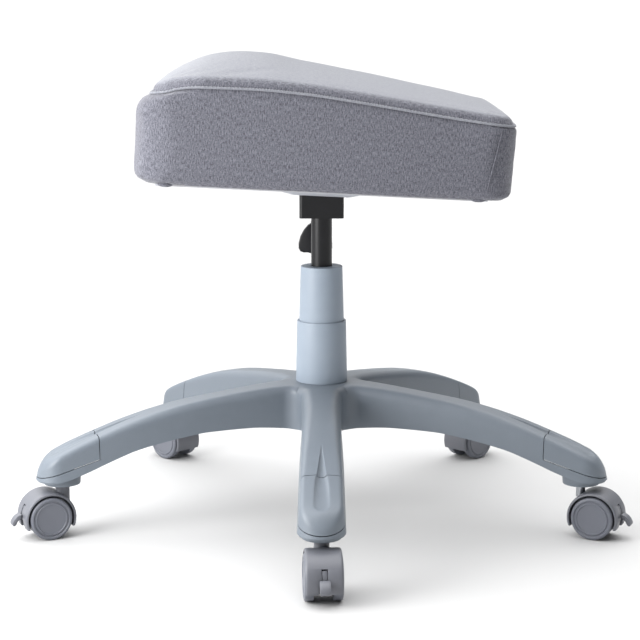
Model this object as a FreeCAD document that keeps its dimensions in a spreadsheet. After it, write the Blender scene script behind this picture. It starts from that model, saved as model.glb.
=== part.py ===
"""Adjustable swivel stool on a five-arm castor base, as a parametric document.

Millimetres, +Z up. The origin is on the floor under the column's axis. The seat's thick end
points to -X, and one arm of the base points to -Y.
"""
import FreeCAD
import Part
import Sketcher
import math
import os
import re

V = FreeCAD.Vector
Z_AXIS = V(0, 0, 1)

# ---------------------------------------------------------------- driving dimensions

SIZES = {
    # castors
    "wheel_diameter": 51.0,
    "wheel_width": 10.5,
    "wheel_spacing": 21.0,
    "hood_gap": 1.8,
    "hood_wall": 3.2,
    "hood_width": 40.0,
    "hood_web": 18.0,
    "neck_rise": 6.8,
    "neck_diameter": 20.0,
    "castor_trail": 20.0,
    "axle_diameter": 6.0,
    "stem_diameter": 11.0,
    "stem_grip": 23.0,
    "hood_drop": 11.0,
    "brake_pivot_out": 20.0,
    "brake_pivot_up": 9.0,
    "brake_pin_diameter": 3.0,
    "pedal_width": 11.6,
    "shank_width": 5.6,
    # base
    "stem_circle_radius": 324.0,
    "arm_end_radius": 26.5,
    "arm_tip_beyond_stem": 4.5,
    "arm_root_width": 47.0,
    "arm_blend": 11.0,
    "arm_edge_round": 7.0,
    "arm_wall": 3.5,
    "arm_rib": 2.5,
    "rib_recess": 2.0,
    "boss_diameter": 44.8,
    "base_rise": 104.2,
    "hub_depth": 60.0,
    "cap_length": 72.5,
    "cap_wall": 2.4,
    "cap_seam": 0.3,
    # column
    "tube_diameter": 45.0,
    "tube_wall": 2.0,
    "tube_taper": 0.8,
    "tube_rise": 137.0,
    "cylinder_diameter": 25.4,
    "cylinder_wall": 1.7,
    "cylinder_length": 211.0,
    "rest_extension": 63.0,
    "nose_length": 24.0,
    "nose_taper": 0.8,
    "rod_diameter": 10.0,
    "rod_length": 170.0,
    "bush_length": 60.0,
    "button_diameter": 8.0,
    "lower_cover_height": 75.0,
    "lower_cover_bottom": 63.0,
    "lower_cover_top": 59.6,
    "upper_cover_bottom": 54.6,
    "upper_cover_top": 50.8,
    "cover_overlap": 38.0,
    "cover_wall": 2.0,
    # seat
    "seat_tilt": 2.8,
    "seat_rise": 44.5,
    "seat_length": 422.0,
    "seat_depth": 350.0,
    "seat_corner": 34.0,
    "thick_side": 110.0,
    "thin_side": 84.0,
    "thick_crown": 40.0,
    "thin_crown": 17.0,
    "side_inset": 18.0,
    "board_thickness": 12.0,
    "cover_panel": 3.0,
    "collar_depth": 18.0,
    "bracket_width": 53.0,
    "bracket_length": 90.0,
    "bracket_sheet": 2.5,
    "plate_length": 150.0,
    "plate_depth": 130.0,
    "bolt_spacing_long": 120.0,
    "bolt_spacing_short": 100.0,
    "screw_diameter": 6.0,
    # height lever
    "lever_offset": 8.0,
    "lever_diameter": 7.0,
    "lever_pivot": 30.0,
    "lever_reach": 150.0,
    "lever_drop": 62.0,
    "paddle_width": 44.0,
    "paddle_height": 40.0,
    "paddle_thickness": 7.0,
    "lever_pin_diameter": 4.0,
    # fits
    "running_clearance": 0.05,
    "loose_clearance": 0.4,
    "soft_clearance": 0.3,
}

ARM_COUNT = 5
# Direction in which each castor trails, in degrees from +X; arm 1 points to -Y.
CASTOR_TURN = (-86.0, -25.0, 44.0, 136.0, 205.0)

# Sizes that follow from the ones above, as expressions on them.
DERIVED = {
    "wheel_radius": "wheel_diameter / 2",
    "hood_inner": "wheel_radius + hood_gap",
    "hood_radius": "hood_inner + hood_wall",
    "socket_level": "wheel_radius + hood_radius + neck_rise",
    "hub_top": "socket_level + base_rise",
    "hub_bottom": "hub_top - hub_depth",
    "tube_radius": "tube_diameter / 2",
    "tube_bore": "tube_radius - tube_wall",
    "tube_top": "hub_top + tube_rise",
    "tube_bottom": "hub_bottom - 3",
    "tube_floor": "tube_bottom + 3",
    "cover_top": "tube_top + 5",
    "bracket_bottom": "cover_top + rest_extension",
    "seat_level": "bracket_bottom + seat_rise",
    "cylinder_radius": "cylinder_diameter / 2",
    "cylinder_bore": "cylinder_radius - cylinder_wall",
    "nose_top": "bracket_bottom + nose_length",
    "cylinder_bottom": "nose_top - cylinder_length",
    "button_top": "nose_top + 4.5",
    "lever_level": "button_top + 0.6 + lever_diameter / 2",
    "rod_radius": "rod_diameter / 2",
    "rod_bottom": "tube_bottom - 7",
    "tip_centre": "stem_circle_radius + arm_tip_beyond_stem",
    "axle_radius": "axle_diameter / 2",
    "stem_radius": "stem_diameter / 2",
    "wheel_inner_face": "wheel_spacing / 2",
    "wheel_outer_face": "wheel_spacing / 2 + wheel_width",
}

doc = FreeCAD.newDocument("Stool")
sheet = doc.addObject("Spreadsheet::Sheet", "Sheet")
for row, (alias, number) in enumerate(SIZES.items(), start=1):
    sheet.set("A%d" % row, alias)
    sheet.set("B%d" % row, str(number))
    sheet.setAlias("B%d" % row, alias)
doc.recompute()


def bound(text):
    """Turn an expression on size names into one on the sheet's cells."""
    def replace(match):
        name = match.group(0)
        if name in SIZES:
            return "Sheet." + name
        if name in DERIVED:
            return "(" + bound(DERIVED[name]) + ")"
        return name
    return re.sub(r"[a-z]\w*", replace, str(text))


def size(text):
    """Value in millimetres of an expression on size names."""
    return float(sheet.evalExpression(bound(text)))


# ---------------------------------------------------------------- building blocks

parts = []


def keep(piece, name):
    """Register a finished sub-part under its node name."""
    piece.Label = name
    parts.append(piece)
    return piece


def new_sketch(body, role, name, height="0"):
    """Sketch on one of the body's own origin planes, raised by height."""
    plane = next(item for item in body.Origin.OriginFeatures if item.Role == role)
    sketch = body.newObject("Sketcher::SketchObject", name)
    sketch.AttachmentSupport = [(plane, "")]
    sketch.MapMode = "FlatFace"
    sketch.setExpression("AttachmentOffset.Base.z", bound(height))
    return sketch


def draw_outline(sketch, corners):
    """Closed outline of straight edges; each corner's two coordinates are bound to the sheet."""
    first = sketch.GeometryCount
    places = [V(size(across), size(up), 0) for across, up in corners]
    count = len(places)
    for index, start in enumerate(places):
        sketch.addGeometry(Part.LineSegment(start, places[(index + 1) % count]), False)
    for index, (across, up) in enumerate(corners):
        line = first + index
        following = first + (index + 1) % count
        sketch.addConstraint(Sketcher.Constraint("Coincident", line, 2, following, 1))
        for kind, text, number in (("DistanceX", across, places[index].x),
                                   ("DistanceY", up, places[index].y)):
            rule = sketch.addConstraint(Sketcher.Constraint(kind, -1, 1, line, 1, number))
            sketch.setExpression("Constraints[%d]" % rule, bound(text))


def new_body(name):
    """Empty body."""
    return doc.addObject("PartDesign::Body", name)


def turned(name, corners):
    """Body turned about Z from an outline of (radius, height) corners."""
    body = new_body(name)
    sketch = new_sketch(body, "XZ_Plane", name + "_outline")
    draw_outline(sketch, corners)
    feature = body.newObject("PartDesign::Revolution", name + "_turn")
    feature.Profile = sketch
    feature.ReferenceAxis = (sketch, ["V_Axis"])
    feature.Angle = 360
    return body


def pin(name, radius, length, middle, turn):
    """Part cylinder bound to the sheet, lying along +Y of a placement and centred on middle."""
    solid = doc.addObject("Part::Cylinder", name)
    solid.setExpression("Radius", bound(radius))
    solid.setExpression("Height", bound(length))
    start = FreeCAD.Placement(V(0, size(length) / 2, 0), V(1, 0, 0), 90)
    solid.Placement = FreeCAD.Placement(middle, turn).multiply(start)
    return solid


def feature(name, shape):
    """Part::Feature that holds a shape made with Part's own functions."""
    holder = doc.addObject("Part::Feature", name)
    holder.Shape = shape
    return holder


def rounded_rectangle(length, depth, corner, level):
    """Face of a rounded rectangle centred on the Z axis at a level."""
    half_x = length / 2 - corner
    half_y = depth / 2 - corner
    edges = []
    centres = ((half_x, half_y), (-half_x, half_y), (-half_x, -half_y), (half_x, -half_y))
    for index, (x, y) in enumerate(centres):
        start = 90.0 * index
        circle = Part.Circle(V(x, y, level), Z_AXIS, corner)
        edges.append(Part.Arc(circle, math.radians(start), math.radians(start + 90)).toShape())
    joined = []
    for index, arc in enumerate(edges):
        following = edges[(index + 1) % 4]
        joined.append(arc)
        joined.append(Part.makeLine(arc.Vertexes[-1].Point, following.Vertexes[0].Point))
    return Part.Face(Part.Wire(joined))


# ---------------------------------------------------------------- five-arm base

def arm_top(reach):
    """Height of the arms' top line above the floor at a distance from the axis."""
    fall = size("base_rise") * 0.72
    span = size("stem_circle_radius") * 1.06
    return size("hub_top") + 3.0 - fall * (reach / span) ** 2.3


def arm_underside(reach):
    """Height of the arms' lower line, which arches up between the hub and the castor boss."""
    crest = size("stem_circle_radius") * 0.34
    top = size("socket_level") + size("base_rise") * 0.51
    floor = size("socket_level") + 4.0
    arch = (top - floor) / (size("stem_circle_radius") * 0.66) ** 2
    return max(floor, top - arch * max(0.0, reach - crest) ** 2)


def arm_turns():
    """Turn of each arm's direction from +X, in degrees."""
    return [360.0 * index / ARM_COUNT - 90.0 for index in range(ARM_COUNT)]


def star_plan(inset):
    """Face of the star's outline seen from above, inset by a wall, arms joined by blends."""
    half_root = size("arm_root_width") / 2 - inset
    end_radius = size("arm_end_radius") - inset
    centre = size("tip_centre")
    blend = size("arm_blend") + inset
    half_angle = math.pi / ARM_COUNT
    # The two side lines of neighbouring arms meet at this distance from the axis.
    corner = half_root / math.sin(half_angle)
    tangent = blend / math.tan(half_angle)
    start = corner * math.cos(half_angle) + tangent
    lean = math.asin((end_radius - half_root) / (centre - start))
    touch = (centre - end_radius * math.sin(lean), end_radius * math.cos(lean))
    edges = []
    for turn in arm_turns():
        spin = FreeCAD.Rotation(Z_AXIS, turn)
        following = FreeCAD.Rotation(Z_AXIS, turn + 360.0 / ARM_COUNT)

        def place(rotation, x, y):
            return rotation.multVec(V(x, y, 0))

        tip = Part.Arc(place(spin, touch[0], -touch[1]), place(spin, centre + end_radius, 0),
                       place(spin, *touch))
        edges.append(Part.makeLine(place(spin, start, -half_root),
                                   place(spin, touch[0], -touch[1])))
        edges.append(tip.toShape())
        edges.append(Part.makeLine(place(spin, *touch), place(spin, start, half_root)))
        middle_turn = FreeCAD.Rotation(Z_AXIS, turn + 180.0 / ARM_COUNT)
        bisector = corner + blend / math.sin(half_angle) - blend
        edges.append(Part.Arc(place(spin, start, half_root), place(middle_turn, bisector, 0),
                              place(following, start, -half_root)).toShape())
    return Part.Face(Part.Wire(edges))


def star_section(wall, below, lift=0.0):
    """Solid of revolution between the arms' top line, lowered by a wall, and their underside."""
    reach = size("tip_centre") + size("arm_end_radius") + 1.0 - wall
    stations = [reach * step / 9.0 for step in range(10)]
    round_start = size("tip_centre") + size("arm_end_radius") - 14.0
    top = [V(station, 0, arm_top(station) - wall) for station in stations if station < round_start]
    nose = V(reach, 0, size("socket_level") + 14.0 - wall)
    shoulder = V(reach - 5.5, 0, arm_top(reach - 5.5) - wall - 7.0)
    upper = Part.BSplineCurve()
    upper.interpolate(top[1:] + [shoulder, nose])
    low = size("socket_level") - below if below else size("socket_level") + 4.0 + lift
    lower_points = [V(station, 0, arm_underside(station) + lift) for station in stations[:-1]]
    if below:
        lower_edges = [Part.makeLine(V(reach, 0, low), V(0, 0, low))]
    else:
        lower = Part.BSplineCurve()
        lower.interpolate(lower_points[::-1])
        lower_edges = [Part.makeLine(V(reach, 0, low), lower_points[-1]), lower.toShape()]
    first = upper.StartPoint
    edges = [Part.makeLine(V(0, 0, first.z), first), upper.toShape(),
             Part.makeLine(nose, V(reach, 0, low))] + lower_edges
    edges.append(Part.makeLine(edges[-1].Vertexes[-1].Point if below else lower_points[0],
                               V(0, 0, first.z)))
    profile = Part.Face(Part.Wire(Part.__sortEdges__(edges)))
    return profile.revolve(V(0, 0, 0), Z_AXIS, 360)


def star_solid(inset, below=0.0):
    """Five arms and hub as one solid, inset by a wall; below opens it downwards."""
    plan = star_plan(inset).extrude(V(0, 0, size("hub_top") + 40.0))
    return plan.common(star_section(inset, below))


def rounded_star():
    """The star with the upper edge of its arms rounded."""
    solid = star_solid(0.0)
    level = size("socket_level") + 12.0
    rim = []
    for edge in solid.Edges:
        middle = edge.valueAt((edge.FirstParameter + edge.LastParameter) / 2)
        radial = math.hypot(middle.x, middle.y)
        high = edge.BoundBox.ZMin > level and middle.z > arm_top(radial) - 12.0
        if high and radial > size("tube_radius"):
            rim.append(edge)
    return solid.makeFillet(size("arm_edge_round"), rim)


def in_arm(shape, turn):
    """Copy of a shape modelled on the +X arm, turned to another arm."""
    copy = shape.copy()
    copy.rotate(V(0, 0, 0), Z_AXIS, turn)
    return copy


def cap_space(gap):
    """Space of the inset cap at the end of the +X arm, smaller by a gap."""
    tip = size("tip_centre + arm_end_radius")
    start = tip - size("cap_length") + gap
    seam = size("socket_level") + 14.5 + gap
    corners = [V(start, 0, seam + 17.2), V(tip - 25.0, 0, seam + 2.0), V(tip - 10.0, 0, seam),
               V(tip + 15.0, 0, seam), V(tip + 15.0, 0, seam + 60.0), V(start, 0, seam + 60.0)]
    side = Part.Face(Part.makePolygon(corners + corners[:1]))
    half = size("arm_end_radius") + 10.0
    solid = side.extrude(V(0, 2 * half, 0))
    solid.translate(V(0, -half, 0))
    return solid


def arm_ribs():
    """Cross ribs and one centre rib under the +X arm, as plates to be trimmed by the arm."""
    rib = size("arm_rib")
    height = size("hub_top")
    width = 2 * size("arm_end_radius")
    start = size("tip_centre + arm_end_radius - cap_length")
    plates = [Part.makeBox(start - 40.0, rib, height, V(40.0, -rib / 2, 0))]
    for step in range(7):
        reach = start - rib - 36.0 * step
        plates.append(Part.makeBox(rib, width, height, V(reach, -width / 2, 0)))
    return plates


def make_base():
    """Five-arm base, open underneath with ribs, with a tapered hub and five castor sockets."""
    wall = size("arm_wall")
    hub_top = size("hub_top")
    hub_bottom = size("hub_bottom")
    level = size("socket_level")
    outside = rounded_star()
    sleeve = Part.makeCylinder(size("lower_cover_bottom / 2"), hub_top, V(0, 0, hub_bottom))
    rib_limit = star_section(0.0, 0.0, lift=size("rib_recess"))
    ribs = [in_arm(plate.common(rib_limit), turn) for plate in arm_ribs() for turn in arm_turns()]
    bosses = []
    floors = []
    cores = []
    sockets = []
    for turn in arm_turns():
        centre = FreeCAD.Rotation(Z_AXIS, turn).multVec(V(size("stem_circle_radius"), 0, 0))
        low = V(centre.x, centre.y, level)
        bosses.append(Part.makeCylinder(size("boss_diameter") / 2, 12.0, low))
        floors.append(Part.makeCylinder(size("arm_end_radius") - 1.0, 7.0, low + V(0, 0, 4.5)))
        cores.append(Part.makeCylinder(size("stem_diameter"), size("stem_grip") + 5.0, low))
        sockets.append(Part.makeCylinder(size("stem_radius"), size("stem_grip") + 1.0,
                                         low - Z_AXIS))
    hollow = star_solid(wall, below=10.0).cut([sleeve] + ribs + floors)
    base = outside.cut([in_arm(cap_space(0.0), turn) for turn in arm_turns()])
    base = base.cut(hollow)
    base = base.fuse([boss.fuse(core) for boss, core in zip(bosses, cores)])
    slope = size("tube_taper") / (hub_top - size("tube_bottom"))
    bore_length = hub_top - hub_bottom + 20.0
    bore = Part.makeCone(size("tube_radius") - slope * bore_length, size("tube_radius"),
                         bore_length, V(0, 0, hub_top - bore_length))
    seat = Part.makeCylinder(size("lower_cover_bottom / 2 + loose_clearance"), 30.0,
                             V(0, 0, hub_top))
    relief = Part.makeCylinder(size("lower_cover_bottom"), 60.0, V(0, 0, hub_bottom - 60.0))
    base = base.cut(sockets + [bore, seat, relief])
    keep(feature("base_star", base), "base_star")

    cap = outside.common(in_arm(cap_space(size("cap_seam")), arm_turns()[0]))
    cap = cap.cut(star_solid(size("cap_wall"), below=10.0))
    for index, turn in enumerate(arm_turns(), start=1):
        piece = feature("arm_cap_%d" % index, cap)
        piece.Placement = FreeCAD.Placement(V(0, 0, 0), Z_AXIS, turn - arm_turns()[0])
        keep(piece, "arm_cap_%d" % index)


# ---------------------------------------------------------------- column and gas spring

def make_column():
    """Fixed column tube with its guide bush, covers, bearing, and the gas spring inside."""
    play = "running_clearance"
    keep(turned("column_tube", [
        ("rod_radius + " + play, "tube_bottom"),
        ("tube_radius - tube_taper", "tube_bottom"),
        ("tube_radius", "hub_top"),
        ("tube_radius", "tube_top"),
        ("tube_bore", "tube_top"),
        ("tube_bore", "tube_floor"),
        ("rod_radius + " + play, "tube_floor"),
    ]), "column_tube")
    keep(turned("guide_bush", [
        ("cylinder_radius + " + play, "tube_top - bush_length"),
        ("tube_bore", "tube_top - bush_length"),
        ("tube_bore", "tube_top"),
        ("tube_radius", "tube_top"),
        ("tube_radius", "tube_top + 2.5"),
        ("cylinder_radius + " + play, "tube_top + 2.5"),
    ]), "guide_bush")
    lower_top = "hub_top + lower_cover_height"
    keep(turned("lower_cover", [
        ("lower_cover_bottom / 2 - cover_wall", "hub_top"),
        ("lower_cover_bottom / 2", "hub_top"),
        ("lower_cover_top / 2", lower_top),
        ("lower_cover_top / 2 - cover_wall", lower_top),
    ]), "lower_cover")
    spread = "((upper_cover_bottom - upper_cover_top) / 2 / (cover_top - %s))" % lower_top
    upper_low = "%s - cover_overlap" % lower_top
    flare = "upper_cover_bottom / 2 + %s * cover_overlap" % spread
    keep(turned("upper_cover", [
        ("cylinder_radius + loose_clearance", "cover_top - 2.2"),
        ("upper_cover_top / 2 - cover_wall", "cover_top - 2.2"),
        (flare + " - cover_wall", upper_low),
        (flare, upper_low),
        ("upper_cover_top / 2", "cover_top - 1"),
        ("upper_cover_top / 2 - 1", "cover_top"),
        ("cylinder_radius + loose_clearance", "cover_top"),
    ]), "upper_cover")
    keep(turned("thrust_bearing", [
        ("rod_radius + loose_clearance", "tube_floor"),
        ("rod_radius + 7", "tube_floor"),
        ("rod_radius + 7", "tube_floor + 5"),
        ("rod_radius + loose_clearance", "tube_floor + 5"),
    ]), "thrust_bearing")
    rod_top = "rod_bottom + rod_length"
    keep(turned("piston_rod", [
        ("0", "rod_bottom"),
        ("rod_radius", "rod_bottom"),
        ("rod_radius", "tube_floor + 5.1"),
        ("rod_radius + 3.5", "tube_floor + 5.1"),
        ("rod_radius + 3.5", "tube_floor + 7.1"),
        ("rod_radius", "tube_floor + 7.1"),
        ("rod_radius", rod_top + " - 8"),
        ("cylinder_bore - " + play, rod_top + " - 8"),
        ("cylinder_bore - " + play, rod_top),
        ("0", rod_top),
    ]), "piston_rod")
    keep(turned("bump_stop", [
        ("rod_radius", "tube_floor + 7.1"),
        ("rod_radius + 4", "tube_floor + 7.1"),
        ("rod_radius + 3", "tube_floor + 15"),
        ("rod_radius", "tube_floor + 15"),
    ]), "bump_stop")
    keep(turned("rod_clip", [
        ("rod_radius", "tube_bottom - 2.2"),
        ("rod_radius + 4", "tube_bottom - 2.2"),
        ("rod_radius + 4", "tube_bottom - 0.2"),
        ("rod_radius", "tube_bottom - 0.2"),
    ]), "rod_clip")
    keep(turned("rod_gland", [
        ("rod_radius + " + play, "cylinder_bottom"),
        ("cylinder_bore", "cylinder_bottom"),
        ("cylinder_bore", "cylinder_bottom + 14"),
        ("rod_radius + " + play, "cylinder_bottom + 14"),
    ]), "rod_gland")
    keep(turned("gas_cylinder", [
        ("cylinder_bore", "cylinder_bottom"),
        ("cylinder_radius", "cylinder_bottom"),
        ("cylinder_radius", "bracket_bottom"),
        ("cylinder_radius - nose_taper", "nose_top"),
        ("button_diameter / 2 + " + play, "nose_top"),
        ("button_diameter / 2 + " + play, "nose_top - 12"),
        ("0", "nose_top - 12"),
        ("0", "nose_top - 46"),
        ("cylinder_bore", "nose_top - 46"),
    ]), "gas_cylinder")
    keep(turned("release_button", [
        ("0", "nose_top - 8"),
        ("button_diameter / 2", "nose_top - 8"),
        ("button_diameter / 2", "button_top"),
        ("0", "button_top"),
    ]), "release_button")


# ---------------------------------------------------------------- seat

def tilt():
    """Placement of the seat's underside plane, sloping down towards +X."""
    return FreeCAD.Placement(V(0, 0, size("seat_level")), V(0, 1, 0), size("seat_tilt"))


def tilted(shape):
    """Shape made on the seat's underside plane, moved to its place."""
    copy = shape.copy()
    copy.Placement = tilt().multiply(copy.Placement)
    return copy


def bolt_places():
    """Centres of the four seat bolts on the underside plane."""
    half_x = size("bolt_spacing_long") / 2
    half_y = size("bolt_spacing_short") / 2
    return [(x, y) for x in (-half_x, half_x) for y in (-half_y, half_y)]


def drilled(shape, radius, low, high):
    """Shape on the underside plane with the four bolt holes cut through it."""
    holes = [Part.makeCylinder(radius, high - low, V(x, y, low)) for x, y in bolt_places()]
    return shape.cut(holes)


def seat_plane_piece(name, shape):
    """Keep a sub-part made on the underside plane, with the tilt as its placement."""
    piece = feature(name, shape)
    piece.Placement = tilt()
    keep(piece, name)


def cushion_side_height(x):
    """Height of the piped edge above the underside at a distance along the seat."""
    half = size("seat_length") / 2
    share = (x + half) / (2 * half)
    line = size("thick_side") + (size("thin_side") - size("thick_side")) * max(0.0, share - 0.3) / 0.7
    lip = 10.0 * max(0.0, 1.0 - share / 0.12) ** 2
    return line - lip


def cushion_crown(x):
    """Rise of the crown above the piped edge at a distance along the seat."""
    half = size("seat_length") / 2
    share = (x + half) / (2 * half)
    rise = size("thick_crown") + (size("thin_crown") - size("thick_crown")) * share
    ends = min(1.0, 5.0 * share + 0.15, 8.0 * (1.0 - share) + 0.35)
    return rise * ends


def cushion_shape():
    """Wedge cushion: piped edge all round, crowned top, recess below for the board."""
    half_x = size("seat_length") / 2
    half_y = size("seat_depth") / 2
    stations = [-half_x + 2 * half_x * step / 10.0 for step in range(11)]
    wires = []
    for share, across in ((0.0, -1.0), (0.45, -0.93), (0.85, -0.6), (1.0, 0.0),
                          (0.85, 0.6), (0.45, 0.93), (0.0, 1.0)):
        y = across * half_y
        top = [V(x, y, cushion_side_height(x) + share * cushion_crown(x)) for x in stations]
        corners = [V(-half_x, y, 0)] + top + [V(half_x, y, 0)]
        wires.append(Part.makePolygon(corners + corners[:1]))
    block_shape = Part.makeLoft(wires, True, True)
    plan = rounded_rectangle(2 * half_x, 2 * half_y, size("seat_corner"), -1.0)
    return block_shape.common(plan.extrude(V(0, 0, 400.0)))


def make_seat():
    """Board, cushion, under cover, bracket and fasteners."""
    inset = 2 * size("side_inset")
    length = size("seat_length") - inset
    depth = size("seat_depth") - inset
    corner = size("seat_corner") - 6.0
    thick = size("board_thickness")
    nut_radius = size("screw_diameter") / 2 + 1.5
    flange_radius = nut_radius + 4.5
    flange = 1.5
    board = rounded_rectangle(length, depth, corner, 0.0).extrude(V(0, 0, thick))
    recesses = [Part.makeCylinder(flange_radius, flange, V(x, y, thick - flange))
                for x, y in bolt_places()]
    board = drilled(board, nut_radius, -1.0, thick + 1.0).cut(recesses)
    seat_plane_piece("seat_board", board)

    gap = size("soft_clearance")
    recess = rounded_rectangle(length + 2 * gap, depth + 2 * gap, corner + gap, -1.0)
    seat_plane_piece("seat_cushion",
                     cushion_shape().cut(recess.extrude(V(0, 0, thick + gap + 1.0))))

    shank = size("screw_diameter") / 2
    sheet_depth = size("cover_panel")
    nuts = []
    screws = []
    for x, y in bolt_places():
        barrel = Part.makeCylinder(nut_radius, thick - flange, V(x, y, 0))
        rim = Part.makeCylinder(flange_radius, flange, V(x, y, thick - flange))
        bore = Part.makeCylinder(shank + size("running_clearance"), thick + 2.0, V(x, y, -1.0))
        nuts.append(barrel.fuse(rim).cut(bore))
        head = Part.makeCylinder(shank * 1.9, 3.6, V(x, y, -sheet_depth - 3.6))
        screws.append(head.fuse(Part.makeCylinder(shank, thick + sheet_depth - 1.0,
                                                  V(x, y, -sheet_depth))))
    seat_plane_piece("t_nuts", Part.Compound(nuts))
    seat_plane_piece("seat_screws", Part.Compound(screws))
    make_under_cover(length, depth, corner)
    make_bracket()


def collar(offset, low):
    """Solid of the raised collar under the seat, smaller by an offset, from a low level."""
    wide = (size("plate_length") + 40.0, size("plate_depth") + 24.0)
    narrow = (size("bracket_width") + 17.0, size("bracket_length") + 18.0)
    wires = []
    for (across, along), level in ((wide, -size("cover_panel")), (narrow, low)):
        face = rounded_rectangle(across - 2 * offset, along - 2 * offset, 12.0, level)
        wires.append(face.OuterWire)
    return Part.makeLoft(wires, True, True)


def make_under_cover(length, depth, corner):
    """Moulded panel under the board with a raised collar round the bracket."""
    panel = size("cover_panel")
    wall = size("bracket_sheet")
    low = -size("collar_depth")
    slab = rounded_rectangle(length - 8.0, depth - 8.0, corner, -panel).extrude(V(0, 0, panel))
    opening = rounded_rectangle(size("plate_length") + 40.0 - 2 * wall,
                                size("plate_depth") + 24.0 - 2 * wall, 12.0, -panel - 1.0)
    cover = slab.fuse(collar(0.0, low))
    cover = cover.cut(opening.extrude(V(0, 0, panel + 2.0)))
    cover = cover.cut(collar(wall, low + wall))
    play = 2 * size("loose_clearance") + 1.0
    window = rounded_rectangle(size("bracket_width") + play, size("bracket_length") + play, 5.0,
                               low - 5.0).extrude(V(0, 0, size("collar_depth")))
    slot = Part.makeBox(18.0, 46.0, size("collar_depth"),
                        V(-size("lever_offset") - 9.0, size("bracket_length") / 2 - 3.0, low - 4.0))
    cover = cover.cut([window, slot])
    seat_plane_piece("under_cover", cover)


def make_bracket():
    """Folded steel box with a tapered socket below and a bolted plate on top."""
    wide = size("bracket_width")
    long = size("bracket_length")
    thin = size("bracket_sheet")
    low = size("bracket_bottom")
    panel = size("cover_panel")
    high = 120.0
    outer = rounded_rectangle(wide, long, 4.0, low).extrude(V(0, 0, high))
    inner = rounded_rectangle(wide - 2 * thin, long - 2 * thin, 2.0, low + thin)
    box = outer.cut(inner.extrude(V(0, 0, high)))
    above = tilted(Part.makeBox(400, 400, 200, V(-200, -200, -panel / 2)))
    box = box.cut(above)
    plate = rounded_rectangle(size("plate_length"), size("plate_depth"), 10.0, -panel)
    plate = plate.extrude(V(0, 0, panel))
    plate = tilted(drilled(plate, size("screw_diameter") / 2 + 0.3, -panel - 1.0, 1.0))
    nose = size("cylinder_radius")
    socket = Part.makeCylinder(nose + 4.0, size("nose_length"), V(0, 0, low))
    taper = Part.makeCone(nose, nose - size("nose_taper"), size("nose_length"), V(0, 0, low))
    level = size("lever_level")
    x = -size("lever_offset")
    slot = Part.makeBox(12.0, 20.0, 15.0, V(x - 6.0, long / 2 - 10.0, level - 7.5))
    pin_hole = Part.makeCylinder(size("lever_pin_diameter") / 2, wide + 20.0,
                                 V(-wide / 2 - 10.0, size("lever_pivot"), level), V(1, 0, 0))
    bracket = box.fuse([plate, socket]).cut([taper, slot, pin_hole])
    keep(feature("seat_bracket", bracket), "seat_bracket")


def bent_rod(points, bend, radius):
    """Round rod along straight runs joined by tangent arcs."""
    edges = []
    start = points[0]
    for before, corner, after in zip(points, points[1:], points[2:]):
        inward = (before - corner).normalize()
        outward = (after - corner).normalize()
        turn = math.pi - inward.getAngle(outward)
        reach = bend * math.tan(turn / 2)
        first = corner + inward * reach
        last = corner + outward * reach
        middle_way = (inward + outward).normalize()
        middle = corner + middle_way * (bend / math.cos(turn / 2) - bend)
        edges.append(Part.makeLine(start, first))
        edges.append(Part.Arc(first, middle, last).toShape())
        start = last
    edges.append(Part.makeLine(start, points[-1]))
    path = Part.Wire(edges)
    ring = Part.Wire(Part.Circle(points[0], points[1] - points[0], radius).toShape())
    return path.makePipeShell([ring], True, False)


def make_lever():
    """Height lever: flat tab over the valve, pivot eye, bent rod and hanging paddle."""
    x = -size("lever_offset")
    level = size("lever_level")
    radius = size("lever_diameter") / 2
    pivot = size("lever_pivot")
    reach = size("lever_reach")
    long = size("bracket_length")
    drop = size("lever_drop")
    rod = bent_rod([V(x, pivot - 16.0, level), V(x, long / 2 + 6.0, level),
                    V(x, reach, level - drop + 12.0), V(x, reach, level - drop - 16.0)],
                   10.0, radius)
    tab = Part.makeBox(18.0, pivot - 6.0, 4.0, V(x - 9.0, -6.0, level - radius))
    eye = Part.makeCylinder(5.0, 12.0, V(x - 6.0, pivot, level), V(1, 0, 0))
    hole = Part.makeCylinder(size("lever_pin_diameter / 2 + running_clearance"), 30.0,
                             V(x - 15.0, pivot, level), V(1, 0, 0))
    lever = rod.fuse([tab, eye]).cut(hole)
    keep(feature("lever_rod", lever), "lever_rod")

    wide = size("paddle_width")
    top = level - drop
    tall = size("paddle_height")
    thick = size("paddle_thickness")
    neck = V(x - 6.0, 0, top)
    low_left = V(x - wide / 2, 0, top - tall + 7.0)
    arc_left = Part.Arc(neck, V(x - wide * 0.36, 0, top - tall * 0.42), low_left).toShape()
    low_right = V(2 * x - low_left.x, 0, low_left.z)
    neck_right = V(2 * x - neck.x, 0, neck.z)
    foot = Part.Arc(low_left, V(x, 0, top - tall + 1.0), low_right).toShape()
    arc_right = Part.Arc(low_right, V(x + wide * 0.36, 0, top - tall * 0.42), neck_right)
    outline = Part.Wire([arc_left, foot, arc_right.toShape(), Part.makeLine(neck_right, neck)])
    plate = Part.Face(outline).extrude(V(0, thick, 0))
    plate.translate(V(0, reach - thick / 2, 0))
    sleeve = Part.makeCylinder(radius + 2.5, 20.0, V(x, reach, top - 18.0))
    bore = Part.makeCylinder(radius, 40.0, V(x, reach, top - 16.0))
    paddle = plate.fuse(sleeve).cut(bore)
    keep(feature("lever_paddle", paddle), "lever_paddle")

    keep(pin("lever_pin", "lever_pin_diameter / 2", "bracket_width", V(0, pivot, level),
             FreeCAD.Rotation(Z_AXIS, 90)), "lever_pin")


# ---------------------------------------------------------------- castors

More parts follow.
